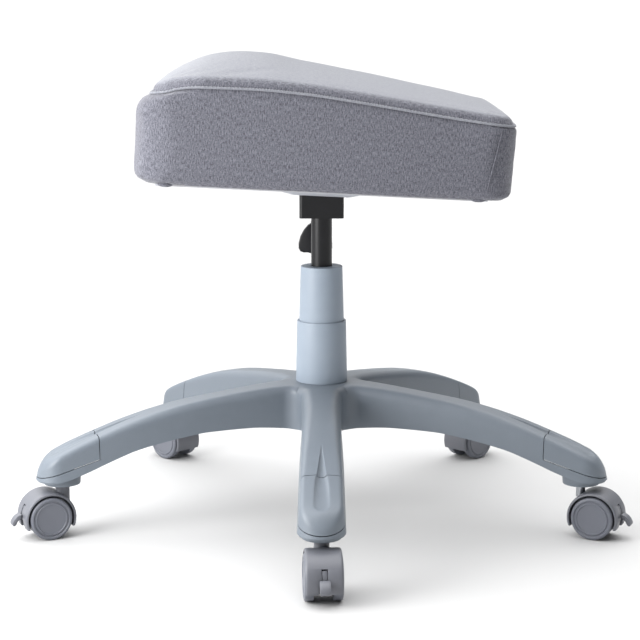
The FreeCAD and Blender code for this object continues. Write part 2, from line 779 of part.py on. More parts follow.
def castor_place(index):
    """Placement of a castor's own frame: the stem's axis on the floor, +X along its trail."""
    turn = arm_turns()[index]
    centre = FreeCAD.Rotation(Z_AXIS, turn).multVec(V(size("stem_circle_radius"), 0, 0))
    return FreeCAD.Placement(centre, Z_AXIS, CASTOR_TURN[index])


def hood_shape():
    """Castor hood: arched cover over both wheels, web between them, neck round the stem."""
    trail = size("castor_trail")
    centre = size("wheel_radius")
    wide = size("hood_width")
    web = size("hood_web")
    outer = size("hood_radius")
    inner = size("hood_inner")

    def barrel(radius, low, high, x=trail, z=centre):
        return Part.makeCylinder(radius, high - low, V(x, high, z), V(0, -1, 0))

    hood = barrel(outer, -wide / 2, wide / 2)
    pockets = [barrel(inner, web / 2, wide / 2 + 1), barrel(inner, -wide / 2 - 1, -web / 2)]
    floor = centre - size("hood_drop")
    below = Part.makeBox(200, 100, floor + 50, V(-100, -50, -50))
    hood = hood.cut(pockets + [below])
    level = size("socket_level")
    foot = centre + size("wheel_radius") * 0.65
    neck = Part.makeCylinder(size("neck_diameter") / 2, level - 1.0 - foot, V(0, 0, foot))
    hood = hood.fuse(neck)
    shank = size("shank_width") / 2 + 0.4
    pedal = size("pedal_width") / 2 + 0.5
    cavity = Part.makeBox(100, 2 * shank, 28.0, V(trail + 8.0, -shank, floor - 1.0))
    notch = Part.makeBox(100, 2 * pedal, 11.0, V(trail + inner - 3.0, -pedal, floor - 1.0))
    stem_hole = Part.makeCylinder(size("stem_radius + running_clearance"), 60.0,
                                  V(0, 0, level - 18.0))
    axle_hole = barrel(size("axle_radius"), -wide, wide)
    pin_hole = barrel(size("brake_pin_diameter / 2 + running_clearance"), -web / 2 + 0.8,
                      web / 2 - 0.8, trail + size("brake_pivot_out"),
                      centre + size("brake_pivot_up"))
    return hood.cut([cavity, notch, stem_hole, axle_hole, pin_hole])


def side_plate(corners, wide):
    """Plate across the castor from corners given as (x, z)."""
    points = [V(x, -wide / 2, z) for x, z in corners]
    return Part.Face(Part.makePolygon(points + points[:1])).extrude(V(0, wide, 0))


def brake_shape():
    """Brake lever: shank on its pin inside the web and a wide pedal outside the hood."""
    x = size("castor_trail + brake_pivot_out")
    z = size("wheel_radius + brake_pivot_up")
    edge = size("castor_trail + hood_radius") + 2.0
    shank = side_plate([(x - 3.5, z), (x - 2.0, z + 3.5), (x + 2.5, z + 3.5), (edge, z - 3.4),
                        (edge, z - 8.4), (x + 4.0, z - 6.5), (x - 2.0, z - 3.5)],
                       size("shank_width"))
    pedal = side_plate([(edge, z - 3.4), (edge + 3.0, z - 4.2), (edge + 10.0, z - 10.5),
                        (edge + 10.5, z - 14.5), (edge + 8.0, z - 16.7), (edge + 5.0, z - 15.0),
                        (edge + 2.5, z - 10.5), (edge, z - 8.4)], size("pedal_width"))
    long = size("hood_web") - 2.0
    pin = Part.makeCylinder(size("brake_pin_diameter") / 2, long, V(x, long / 2, z), V(0, -1, 0))
    return shank.fuse([pedal, pin])


def make_castor(index, hood, brake):
    """One castor with its stem, axle, two wheels and brake lever."""
    number = index + 1
    place = castor_place(index)
    trail = size("castor_trail")
    centre = size("wheel_radius")
    for name, shape in (("castor_hood_%d" % number, hood), ("brake_lever_%d" % number, brake)):
        piece = feature(name, shape)
        piece.Placement = place
        keep(piece, name)
    stem = turned("castor_stem_%d" % number, [
        ("0", "socket_level - 16"),
        ("stem_radius", "socket_level - 16"),
        ("stem_radius", "socket_level - 0.9"),
        ("stem_radius + 3", "socket_level - 0.9"),
        ("stem_radius + 3", "socket_level"),
        ("stem_radius", "socket_level"),
        ("stem_radius", "socket_level + stem_grip - 2"),
        ("stem_radius - 2", "socket_level + stem_grip"),
        ("0", "socket_level + stem_grip"),
    ])
    stem.Placement = place
    keep(stem, "castor_stem_%d" % number)
    keep(pin("axle_%d" % number, "axle_radius", "2 * wheel_outer_face - 5.4",
             place.multVec(V(trail, 0, centre)), place.Rotation), "axle_%d" % number)
    for side, lean in (("left", -90), ("right", 90)):
        wheel = turned("wheel_%s_%d" % (side, number), [
            ("0", "wheel_outer_face - 2.4"),
            ("axle_radius + running_clearance", "wheel_outer_face - 2.4"),
            ("axle_radius + running_clearance", "hood_web / 2 + 0.4"),
            ("axle_radius + 4", "hood_web / 2 + 0.4"),
            ("axle_radius + 4", "wheel_outer_face - 4.5"),
            ("wheel_radius - 5", "wheel_outer_face - 4.5"),
            ("wheel_radius - 5", "wheel_inner_face"),
            ("wheel_radius - 1.2", "wheel_inner_face"),
            ("wheel_radius", "wheel_inner_face + 1.2"),
            ("wheel_radius", "wheel_outer_face - 2.2"),
            ("wheel_radius - 0.9", "wheel_outer_face - 0.7"),
            ("wheel_radius - 2.6", "wheel_outer_face"),
            ("wheel_radius - 6.2", "wheel_outer_face"),
            ("wheel_radius - 7", "wheel_outer_face - 0.8"),
            ("0", "wheel_outer_face - 0.8"),
        ])
        wheel.Placement = place.multiply(
            FreeCAD.Placement(V(trail, 0, centre), V(1, 0, 0), lean))
        keep(wheel, "wheel_%s_%d" % (side, number))


# ---------------------------------------------------------------- build, test and write

make_base()
make_column()
make_seat()
make_lever()
hood_form = hood_shape()
brake_form = brake_shape()
for castor in range(ARM_COUNT):
    make_castor(castor, hood_form, brake_form)
doc.recompute()

for item in doc.Objects:
    if "Invalid" in item.State or "Error" in item.State:
        raise RuntimeError("%s did not build: %s" % (item.Name, item.State))
for piece in parts:
    if piece.Shape.isNull() or not piece.Shape.isValid():
        raise RuntimeError("%s has no valid shape" % piece.Label)

os.makedirs("parts", exist_ok=True)
for piece in parts:
    piece.Shape.exportStep("parts/%s.step" % piece.Label)
print("%d sub-parts written" % len(parts))
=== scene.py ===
"""Looks of a swivel stool: wedge cushion, gas lift and five-arm castor base.

Metres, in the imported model's frame: floor at z = 0, column on the z axis, the cushion's thick end
towards -x and one arm of the base towards -y. Sizes in the dataclasses are in millimetres.
"""

import logging
import math
from dataclasses import dataclass, field
from enum import Enum
from typing import Iterable

import bmesh
import bpy
from mathutils import Matrix, Vector


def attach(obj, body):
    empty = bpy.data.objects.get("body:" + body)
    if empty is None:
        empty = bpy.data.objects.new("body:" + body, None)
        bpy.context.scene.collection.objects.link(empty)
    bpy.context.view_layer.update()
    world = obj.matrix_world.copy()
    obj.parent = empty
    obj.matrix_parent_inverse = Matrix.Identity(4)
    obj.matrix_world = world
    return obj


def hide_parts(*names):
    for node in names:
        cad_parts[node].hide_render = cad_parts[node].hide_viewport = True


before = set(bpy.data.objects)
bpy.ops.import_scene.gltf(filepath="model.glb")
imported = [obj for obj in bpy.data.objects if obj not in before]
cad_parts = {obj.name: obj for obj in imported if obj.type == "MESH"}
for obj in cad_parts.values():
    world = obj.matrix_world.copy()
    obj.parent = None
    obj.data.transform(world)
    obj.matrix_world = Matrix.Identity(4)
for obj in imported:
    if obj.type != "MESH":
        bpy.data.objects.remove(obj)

MM = 0.001
ARM_COUNT = 5
SECTOR = 2.0 * math.pi / ARM_COUNT
FIRST_ARM = -math.pi / 2.0
log = logging.getLogger("stool")

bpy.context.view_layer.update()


class Slot(Enum):
    """Material slots of the record."""

    BASE = "base_nylon"
    COVER = "cover_plastic"
    CASTOR = "castor_nylon"
    WHEEL = "wheel_plastic"
    BLACK_STEEL = "black_steel"
    BRIGHT_STEEL = "bright_steel"
    BLACK_PLASTIC = "black_plastic"
    BUSH = "bush_plastic"
    RUBBER = "rubber"
    PLYWOOD = "plywood"
    PANEL = "panel_plastic"
    FABRIC = "seat_fabric"


# ------------------------------------------------------------------ finishes


def linear(code: str) -> tuple[float, float, float, float]:
    """Turn an sRGB hex colour into linear RGBA.

    Args:
        code: Six hex digits after a hash sign.

    Returns:
        Linear red, green, blue and an alpha of 1.
    """
    channels = [int(code[i : i + 2], 16) / 255.0 for i in (1, 3, 5)]
    curve = [c / 12.92 if c <= 0.04045 else ((c + 0.055) / 1.055) ** 2.4 for c in channels]
    return (curve[0], curve[1], curve[2], 1.0)


def add_node(
    tree: bpy.types.NodeTree,
    kind: str,
    values: dict | None = None,
    links: dict | None = None,
    **settings: object,
) -> bpy.types.Node:
    """Add a node with its settings, input values and incoming links.

    Args:
        tree: Node tree that takes the node.
        kind: Node type name.
        values: Input name or index to value.
        links: Input name or index to the output socket that feeds it.
        settings: Properties of the node itself.

    Returns:
        The new node.
    """
    node = tree.nodes.new(kind)
    for key, value in settings.items():
        setattr(node, key, value)
    for key, value in (values or {}).items():
        node.inputs[key].default_value = value
    for key, source in (links or {}).items():
        tree.links.new(source, node.inputs[key])
    return node


def per_metre(size_mm: float) -> float:
    """Texture scale that gives one cell per size in millimetres."""
    return 1.0 / (size_mm * MM)


@dataclass(frozen=True)
class Finish:
    """A finish: its name, two close tones, roughness and the grain of its surface."""

    name: str
    tone: str
    second_tone: str
    roughness: float
    roughness_spread: float = 0.06
    grain_mm: float = 0.6
    grain_depth_mm: float = 0.02
    cloud_mm: float = 14.0
    metallic: float = 0.0
    ior: float = 1.5

    def start(self) -> tuple[bpy.types.NodeTree, bpy.types.Node, bpy.types.Material]:
        """Make an empty node material with an output and a principled shader."""
        material = bpy.data.materials.new(self.name)
        material.use_nodes = True
        tree = material.node_tree
        tree.nodes.clear()
        shader = add_node(
            tree,
            "ShaderNodeBsdfPrincipled",
            {"Metallic": self.metallic, "IOR": self.ior, "Roughness": self.roughness},
        )
        add_node(tree, "ShaderNodeOutputMaterial", links={"Surface": shader.outputs["BSDF"]})
        return tree, shader, material

    def material(self) -> bpy.types.Material:
        """Build the material: clouded tone, uneven gloss and a fine moulded grain."""
        tree, shader, material = self.start()
        place = add_node(tree, "ShaderNodeTexCoord").outputs["Object"]
        cloud = add_node(
            tree,
            "ShaderNodeTexNoise",
            {"Scale": per_metre(self.cloud_mm), "Detail": 3.0, "Roughness": 0.55},
            {"Vector": place},
        )
        tone = add_node(
            tree,
            "ShaderNodeMix",
            {6: linear(self.tone), 7: linear(self.second_tone)},
            {0: cloud.outputs["Fac"]},
            data_type="RGBA",
        )
        grain = add_node(
            tree,
            "ShaderNodeTexNoise",
            {"Scale": per_metre(self.grain_mm), "Detail": 2.0},
            {"Vector": place},
        )
        gloss = add_node(
            tree,
            "ShaderNodeMapRange",
            {
                "To Min": self.roughness - self.roughness_spread,
                "To Max": self.roughness + self.roughness_spread,
            },
            {"Value": cloud.outputs["Fac"]},
        )
        bump = add_node(
            tree,
            "ShaderNodeBump",
            {"Strength": 0.35, "Distance": self.grain_depth_mm * MM},
            {"Height": grain.outputs["Fac"]},
        )
        tree.links.new(tone.outputs[2], shader.inputs["Base Color"])
        tree.links.new(gloss.outputs["Result"], shader.inputs["Roughness"])
        tree.links.new(bump.outputs["Normal"], shader.inputs["Normal"])
        return material


@dataclass(frozen=True)
class HeatherWeave(Finish):
    """Woven melange upholstery: pale and dark yarns mixed, with slubs along the warp.

    A per-point attribute runs from 0 on the top panel to 1 on the side band and the rolled edge
    above the piping; it blends in darker yarn tones there as painted shade, for faces turned away
    from the light above.
    """

    # Painted shade: darker yarn tones for the side band and rolled edge, which face away from the
    # light above.
    shaded_side_tone: str = "#43434c"
    shaded_side_second_tone: str = "#7b7c86"
    yarn_mm: float = 1.15
    slub_mm: float = 5.0

    def material(self) -> bpy.types.Material:
        """Build the cloth: mixed yarns on the piece's own cloth map, with a weave bump."""
        tree, shader, material = self.start()
        cloth = add_node(tree, "ShaderNodeUVMap", uv_map="cloth").outputs["UV"]
        yarn_place = add_node(
            tree,
            "ShaderNodeMapping",
            {"Scale": (per_metre(self.yarn_mm), per_metre(self.slub_mm), 1.0)},
            {"Vector": cloth},
        )
        yarn = add_node(
            tree,
            "ShaderNodeTexNoise",
            {"Scale": 1.0, "Detail": 3.0, "Roughness": 0.7},
            {"Vector": yarn_place.outputs["Vector"]},
        )
        fleck = add_node(
            tree,
            "ShaderNodeTexNoise",
            {"Scale": per_metre(self.yarn_mm * 1.3), "Detail": 2.0, "Roughness": 0.6},
            {"Vector": cloth},
        )
        mixed = add_node(
            tree,
            "ShaderNodeMath",
            {1: 1.9},
            {0: yarn.outputs["Fac"], 2: fleck.outputs["Fac"]},
            operation="MULTIPLY_ADD",
        )
        share = add_node(
            tree,
            "ShaderNodeMapRange",
            {"From Min": 1.13, "From Max": 1.77},
            {"Value": mixed.outputs["Value"]},
        )
        # Painted shade: this attribute mixes the top's yarn tones towards the darker side tones.
        painted_shade = add_node(tree, "ShaderNodeAttribute", attribute_name="painted_shade").outputs["Fac"]
        dark = add_node(
            tree,
            "ShaderNodeMix",
            {6: linear(self.tone), 7: linear(self.shaded_side_tone)},
            {0: painted_shade},
            data_type="RGBA",
        )
        pale = add_node(
            tree,
            "ShaderNodeMix",
            {6: linear(self.second_tone), 7: linear(self.shaded_side_second_tone)},
            {0: painted_shade},
            data_type="RGBA",
        )
        tone = add_node(
            tree,
            "ShaderNodeMix",
            links={0: share.outputs["Result"], 6: dark.outputs[2], 7: pale.outputs[2]},
            data_type="RGBA",
        )
        bump = add_node(
            tree,
            "ShaderNodeBump",
            {"Strength": 0.5, "Distance": self.grain_depth_mm * MM},
            {"Height": mixed.outputs["Value"]},
        )
        shader.inputs["Sheen Weight"].default_value = 0.25
        shader.inputs["Sheen Roughness"].default_value = 0.45
        tree.links.new(tone.outputs[2], shader.inputs["Base Color"])
        tree.links.new(bump.outputs["Normal"], shader.inputs["Normal"])
        return material


# Glass-filled nylon, injection moulded: even, slightly soft gloss over a fine spark texture.
BASE_NYLON = Finish("glass_filled_nylon_moulded", "#6a727b", "#707881", 0.44)
# Polypropylene cover, moulded with a fine matt texture: paler and duller than the base.
COVER_PLASTIC = Finish("polypropylene_moulded_matt", "#8f9aa7", "#949fab", 0.5)
# Castor nylon, moulded: warmer grey with a soft gloss.
CASTOR_NYLON = Finish("castor_nylon_moulded", "#66686f", "#6b6d74", 0.42)
# Wheel of hard polyamide, turned smooth in its mould: slightly darker than its hood.
WHEEL_PLASTIC = Finish("hard_polyamide_moulded", "#676a73", "#6c6f78", 0.38)
# Mild steel with black powder coat: fine orange-peel that breaks up the highlight.
BLACK_STEEL = Finish("steel_powder_coated_black", "#0c0c0f", "#101014", 0.36, grain_mm=1.0, ior=1.38)
# Zinc-plated steel, drawn: bright with a cool cast.
BRIGHT_STEEL = Finish(
    "steel_zinc_plated_drawn", "#b9bcc0", "#a9adb2", 0.28, grain_mm=0.4, metallic=1.0
)
# Black ABS, moulded: satin.
BLACK_ABS = Finish("abs_moulded_black", "#0e0e12", "#131317", 0.32, ior=1.38)
# Acetal bush, moulded: milky and slick.
ACETAL = Finish("acetal_moulded_natural", "#d9d7cf", "#cfccc4", 0.3)
# Nitrile rubber, moulded: matt black.
RUBBER = Finish("nitrile_rubber_moulded", "#161616", "#1c1c1c", 0.8)
# Poplar plywood, sanded: pale veneer with soft grain.
PLYWOOD = Finish("poplar_plywood_sanded", "#c8ab7d", "#b8996a", 0.7, cloud_mm=30.0)
# Polypropylene underside panel, moulded: pale grey and matt.
PANEL_PLASTIC = Finish("polypropylene_panel_matt", "#a7a9b0", "#adafb6", 0.55)
# Polyester melange cloth, woven: pale and charcoal yarns, painted darker on the side band and rolled
# edge than on the top as shade from the light above.
HEATHER = HeatherWeave(
    "polyester_melange_woven", "#74767f", "#92949b", 0.9, grain_depth_mm=0.4
)
# Polyester sewing thread, twisted: paler than the cloth, with a slight lustre.
THREAD = Finish("polyester_thread_twisted", "#8f9298", "#9a9da3", 0.6, grain_mm=0.3)

FINISHES = {
    Slot.BASE: BASE_NYLON,
    Slot.COVER: COVER_PLASTIC,
    Slot.CASTOR: CASTOR_NYLON,
    Slot.WHEEL: WHEEL_PLASTIC,
    Slot.BLACK_STEEL: BLACK_STEEL,
    Slot.BRIGHT_STEEL: BRIGHT_STEEL,
    Slot.BLACK_PLASTIC: BLACK_ABS,
    Slot.BUSH: ACETAL,
    Slot.RUBBER: RUBBER,
    Slot.PLYWOOD: PLYWOOD,
    Slot.PANEL: PANEL_PLASTIC,
    Slot.FABRIC: HEATHER,
}


class Finishes:
    """Builds each finish once and hands it out by slot."""

    def __init__(self) -> None:
        """Start with no material built."""
        self.built: dict[Slot, bpy.types.Material] = {}

    def of(self, slot: Slot) -> bpy.types.Material:
        """Material for a slot, built on first use."""
        if slot not in self.built:
            self.built[slot] = FINISHES[slot].material()
        return self.built[slot]


# ------------------------------------------------------------------ workshop


def through(points: Iterable[tuple[float, float]], at: float) -> float:
    """Height of a smooth line through points, without overshoot.

    Args:
        points: Stations and heights, stations rising.
        at: Station to read.

    Returns:
        Height at the station, held level past both ends.
    """
    line = list(points)
    if at <= line[0][0]:
        return line[0][1]
    if at >= line[-1][0]:
        return line[-1][1]
    slopes = [(b[1] - a[1]) / (b[0] - a[0]) for a, b in zip(line, line[1:])]
    tangents = [slopes[0]]
    for before, after in zip(slopes, slopes[1:]):
        tangents.append(0.0 if before * after <= 0 else 2 * before * after / (before + after))
    tangents.append(slopes[-1])
    index = max(i for i in range(len(line) - 1) if at >= line[i][0])
    (x0, y0), (x1, y1) = line[index], line[index + 1]
    span = x1 - x0
    t = (at - x0) / span
    rise = (1 + 2 * t) * (1 - t) ** 2 * y0 + t * t * (3 - 2 * t) * y1
    lean = t * (1 - t) ** 2 * span * tangents[index] - t * t * (1 - t) * span * tangents[index + 1]
    return rise + lean


def quarter(inside: float, width: float, depth: float) -> float:
    """Drop of a rounded edge at a distance inside it, zero once past its width."""
    if inside >= width:
        return 0.0
    share = (width - max(0.0, inside)) / width
    return depth * (1.0 - math.sqrt(max(0.0, 1.0 - share * share)))


@dataclass
class Workshop:
    """Turns bmesh work into finished pieces that ride, wear a finish and replace CAD nodes."""

    finishes: Finishes
    smooth_below: float = math.radians(34.0)
    made: list[str] = field(default_factory=list)

    def finish(
        self,
        bm: bmesh.types.BMesh,
        name: str,
        body: str,
        slot: Slot,
        replaces: Iterable[str] = (),
        weld: float = 0.0,
        outward: bool = True,
        wears: Finish | None = None,
    ) -> bpy.types.Object:
        """Make the piece's object from its bmesh.

        Args:
            bm: Work in metres; freed here.
            name: Piece name.
            body: CAD body it rides on.
            slot: Record slot its finish comes from.
            replaces: CAD nodes it stands for.
            weld: Merge distance in metres, or 0 for none.
            outward: Whether to recalculate the normals.
            wears: Finish other than the slot's own.

        Returns:
            The piece.
        """
        if weld:
            bmesh.ops.remove_doubles(bm, verts=bm.verts, dist=weld)
        if outward:
            bmesh.ops.recalc_face_normals(bm, faces=bm.faces)
        for face in bm.faces:
            face.smooth = True
        for edge in bm.edges:
            if len(edge.link_faces) == 2:
                edge.smooth = edge.calc_face_angle(0.0) < self.smooth_below
        mesh = bpy.data.meshes.new(name)
        bm.to_mesh(mesh)
        bm.free()
        piece = bpy.data.objects.new(name, mesh)
        bpy.context.scene.collection.objects.link(piece)
        piece.data.materials.append(wears.material() if wears else self.finishes.of(slot))
        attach(piece, body)
        if replaces:
            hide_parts(*replaces)
        self.made.append(name)
        log.info("piece %s on %s, %d faces", name, body, len(mesh.polygons))
        return piece

    def cut(self, piece: bpy.types.Object, cutters: Iterable[bmesh.types.BMesh]) -> None:
        """Cut closed shapes out of a piece and keep the result in its mesh.

        Args:
            piece: Piece to cut.
            cutters: Closed bmesh shapes in metres; freed here.
        """
        for cutter in cutters:
            bmesh.ops.recalc_face_normals(cutter, faces=cutter.faces)
            mesh = bpy.data.meshes.new("cutter")
            cutter.to_mesh(mesh)
            cutter.free()
            tool = bpy.data.objects.new("cutter", mesh)
            bpy.context.scene.collection.objects.link(tool)
            step = piece.modifiers.new("cut", "BOOLEAN")
            step.operation = "DIFFERENCE"
            step.solver = "EXACT"
            step.object = tool
            self.keep_modified(piece)
            bpy.data.objects.remove(tool)
            bpy.data.meshes.remove(mesh)

    def keep_modified(self, piece: bpy.types.Object) -> None:
        """Write a piece's modifiers into its mesh."""
        graph = bpy.context.evaluated_depsgraph_get()
        graph.update()
        mesh = bpy.data.meshes.new_from_object(piece.evaluated_get(graph))
        old = piece.data
        piece.modifiers.clear()
        piece.data = mesh
        bpy.data.meshes.remove(old)

    def dress_node(self, node: str, slot: Slot) -> None:
        """Give a CAD node its finish."""
        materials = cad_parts[node].data.materials
        materials.clear()
        materials.append(self.finishes.of(slot))


def turned(
    profile: Iterable[tuple[float, float]], steps: int = 96, closed: bool = True
) -> bmesh.types.BMesh:
    """Turn a profile about the z axis.

    Args:
        profile: Radius and height corners in millimetres.
        steps: Facets round the axis.
        closed: Whether the profile's last corner joins its first.

    Returns:
        The turned shape in metres.
    """
    bm = bmesh.new()
    corners = list(profile)
    verts = [bm.verts.new((r * MM, 0.0, z * MM)) for r, z in corners]
    pairs = list(zip(verts, verts[1:]))
    if closed:
        pairs.append((verts[-1], verts[0]))
    edges = []
    for a, b in pairs:
        if a.co.x > 1e-9 or b.co.x > 1e-9:
            edges.append(bm.edges.new((a, b)))
    bmesh.ops.spin(
        bm,
        geom=verts + edges,
        cent=(0, 0, 0),
        axis=(0, 0, 1),
        angle=2 * math.pi,
        steps=steps,
        use_merge=True,
    )
    bmesh.ops.remove_doubles(bm, verts=bm.verts, dist=1e-6)
    bmesh.ops.recalc_face_normals(bm, faces=bm.faces)
    return bm


def rounded(
    corners: list[tuple[float, float]], radius: float, sharp: Iterable[int] = ()
) -> list[tuple[float, float]]:
    """Profile with its corners replaced by short three-point rounds.

    Args:
        corners: Closed profile in millimetres.
        radius: Size of each round.
        sharp: Indices of corners left as they are.

    Returns:
        The profile with rounds.
    """
    result = []
    count = len(corners)
    for index, corner in enumerate(corners):
        if index in sharp:
            result.append(corner)
            continue
        here = Vector(corner)
        before = Vector(corners[index - 1]) - here
        after = Vector(corners[(index + 1) % count]) - here
        reach = min(radius, before.length * 0.45, after.length * 0.45)
        first = here + before.normalized() * reach
        last = here + after.normalized() * reach
        middle = (first + last) * 0.5 * 0.45 + here * 0.55
        result += [tuple(first), tuple(middle), tuple(last)]
    return result


def block(low: Iterable[float], high: Iterable[float], edge: float = 0.0) -> bmesh.types.BMesh:
    """Box between two corners in millimetres, with its edges rounded.

    Args:
        low: Lowest corner.
        high: Highest corner.
        edge: Radius of the edges.

    Returns:
        The box in metres.
    """
    low, high = Vector(low) * MM, Vector(high) * MM
    bm = bmesh.new()
    bmesh.ops.create_cube(bm, size=1.0)
    size = high - low
    bmesh.ops.scale(bm, vec=size, verts=bm.verts)
    bmesh.ops.translate(bm, vec=(low + high) / 2, verts=bm.verts)
    if edge:
        bmesh.ops.bevel(
            bm,
            geom=list(bm.edges),
            offset=edge * MM,
            segments=3,
            affect="EDGES",
            profile=0.5,
            material=-1,
        )
    return bm


def plate(
    outline: Iterable[tuple[float, float]], low: float, high: float, edge: float = 0.0
) -> bmesh.types.BMesh:
    """Plate of an (x, z) outline, extruded along y, with rounded edges.

    Args:
        outline: Corners in millimetres.
        low: Lowest y.
        high: Highest y.
        edge: Radius of the long edges.

    Returns:
        The plate in metres.
    """
    bm = bmesh.new()
    verts = [bm.verts.new((x * MM, low * MM, z * MM)) for x, z in outline]
    face = bm.faces.new(verts)
    grown = bmesh.ops.extrude_face_region(bm, geom=[face])
    moved = [v for v in grown["geom"] if isinstance(v, bmesh.types.BMVert)]
    bmesh.ops.translate(bm, vec=(0, (high - low) * MM, 0), verts=moved)
    bmesh.ops.recalc_face_normals(bm, faces=bm.faces)
    if edge:
        rims = [e for e in bm.edges if abs(e.verts[0].co.y - e.verts[1].co.y) < 1e-6]
        bmesh.ops.bevel(
            bm, geom=rims, offset=edge * MM, segments=2, affect="EDGES", profile=0.5, material=-1
        )
    return bm


def join(target: bmesh.types.BMesh, *others: bmesh.types.BMesh) -> bmesh.types.BMesh:
    """Move other work into one bmesh and free it."""
    for other in others:
        mesh = bpy.data.meshes.new("joined")
        other.to_mesh(mesh)
        other.free()
        target.from_mesh(mesh)
        bpy.data.meshes.remove(mesh)
    return target


def moved(bm: bmesh.types.BMesh, matrix: Matrix) -> bmesh.types.BMesh:
    """Move work by a matrix in metres and hand it back."""
    bmesh.ops.transform(bm, matrix=matrix, verts=bm.verts)
    return bm


def rod_along(points: Iterable[Vector], radius: float, sides: int = 12) -> bmesh.types.BMesh:
    """Round rod along a path, closed at both ends or joined into a loop.

    Args:
        points: Path in metres; a loop repeats its first point at the end.
        radius: Radius in millimetres.
        sides: Facets round the rod.

    Returns:
        The rod in metres.
    """
    path = list(points)
    loop = (path[0] - path[-1]).length < 1e-7
    if loop:
        path = path[:-1]
    count = len(path)
    bm = bmesh.new()
    rings = []
    up = Vector((0, 0, 1))
    for index, point in enumerate(path):
        before = path[index - 1] if loop or index else path[0]
        after = path[(index + 1) % count] if loop or index < count - 1 else path[-1]
        along = (after - before).normalized()
        side = along.cross(up)
        side = side.normalized() if side.length > 1e-4 else Vector((1, 0, 0))
        lift = side.cross(along).normalized()
        turn = Matrix((side, lift, along)).transposed().to_4x4()
        ring = bmesh.ops.create_circle(
            bm,
            cap_ends=False,
            radius=radius * MM,
            segments=sides,
            matrix=Matrix.Translation(point) @ turn,
        )
        rings.append(ring["verts"])
    pairs = list(zip(rings, rings[1:])) + ([(rings[-1], rings[0])] if loop else [])
    for first, second in pairs:
        for index in range(sides):
            following = (index + 1) % sides
            bm.faces.new(
                (first[index], first[following], second[following], second[index])
            )
    if not loop:
        bm.faces.new(rings[0][::-1])
        bm.faces.new(rings[-1])
    bmesh.ops.recalc_face_normals(bm, faces=bm.faces)
    return bm


# ------------------------------------------------------------------ base


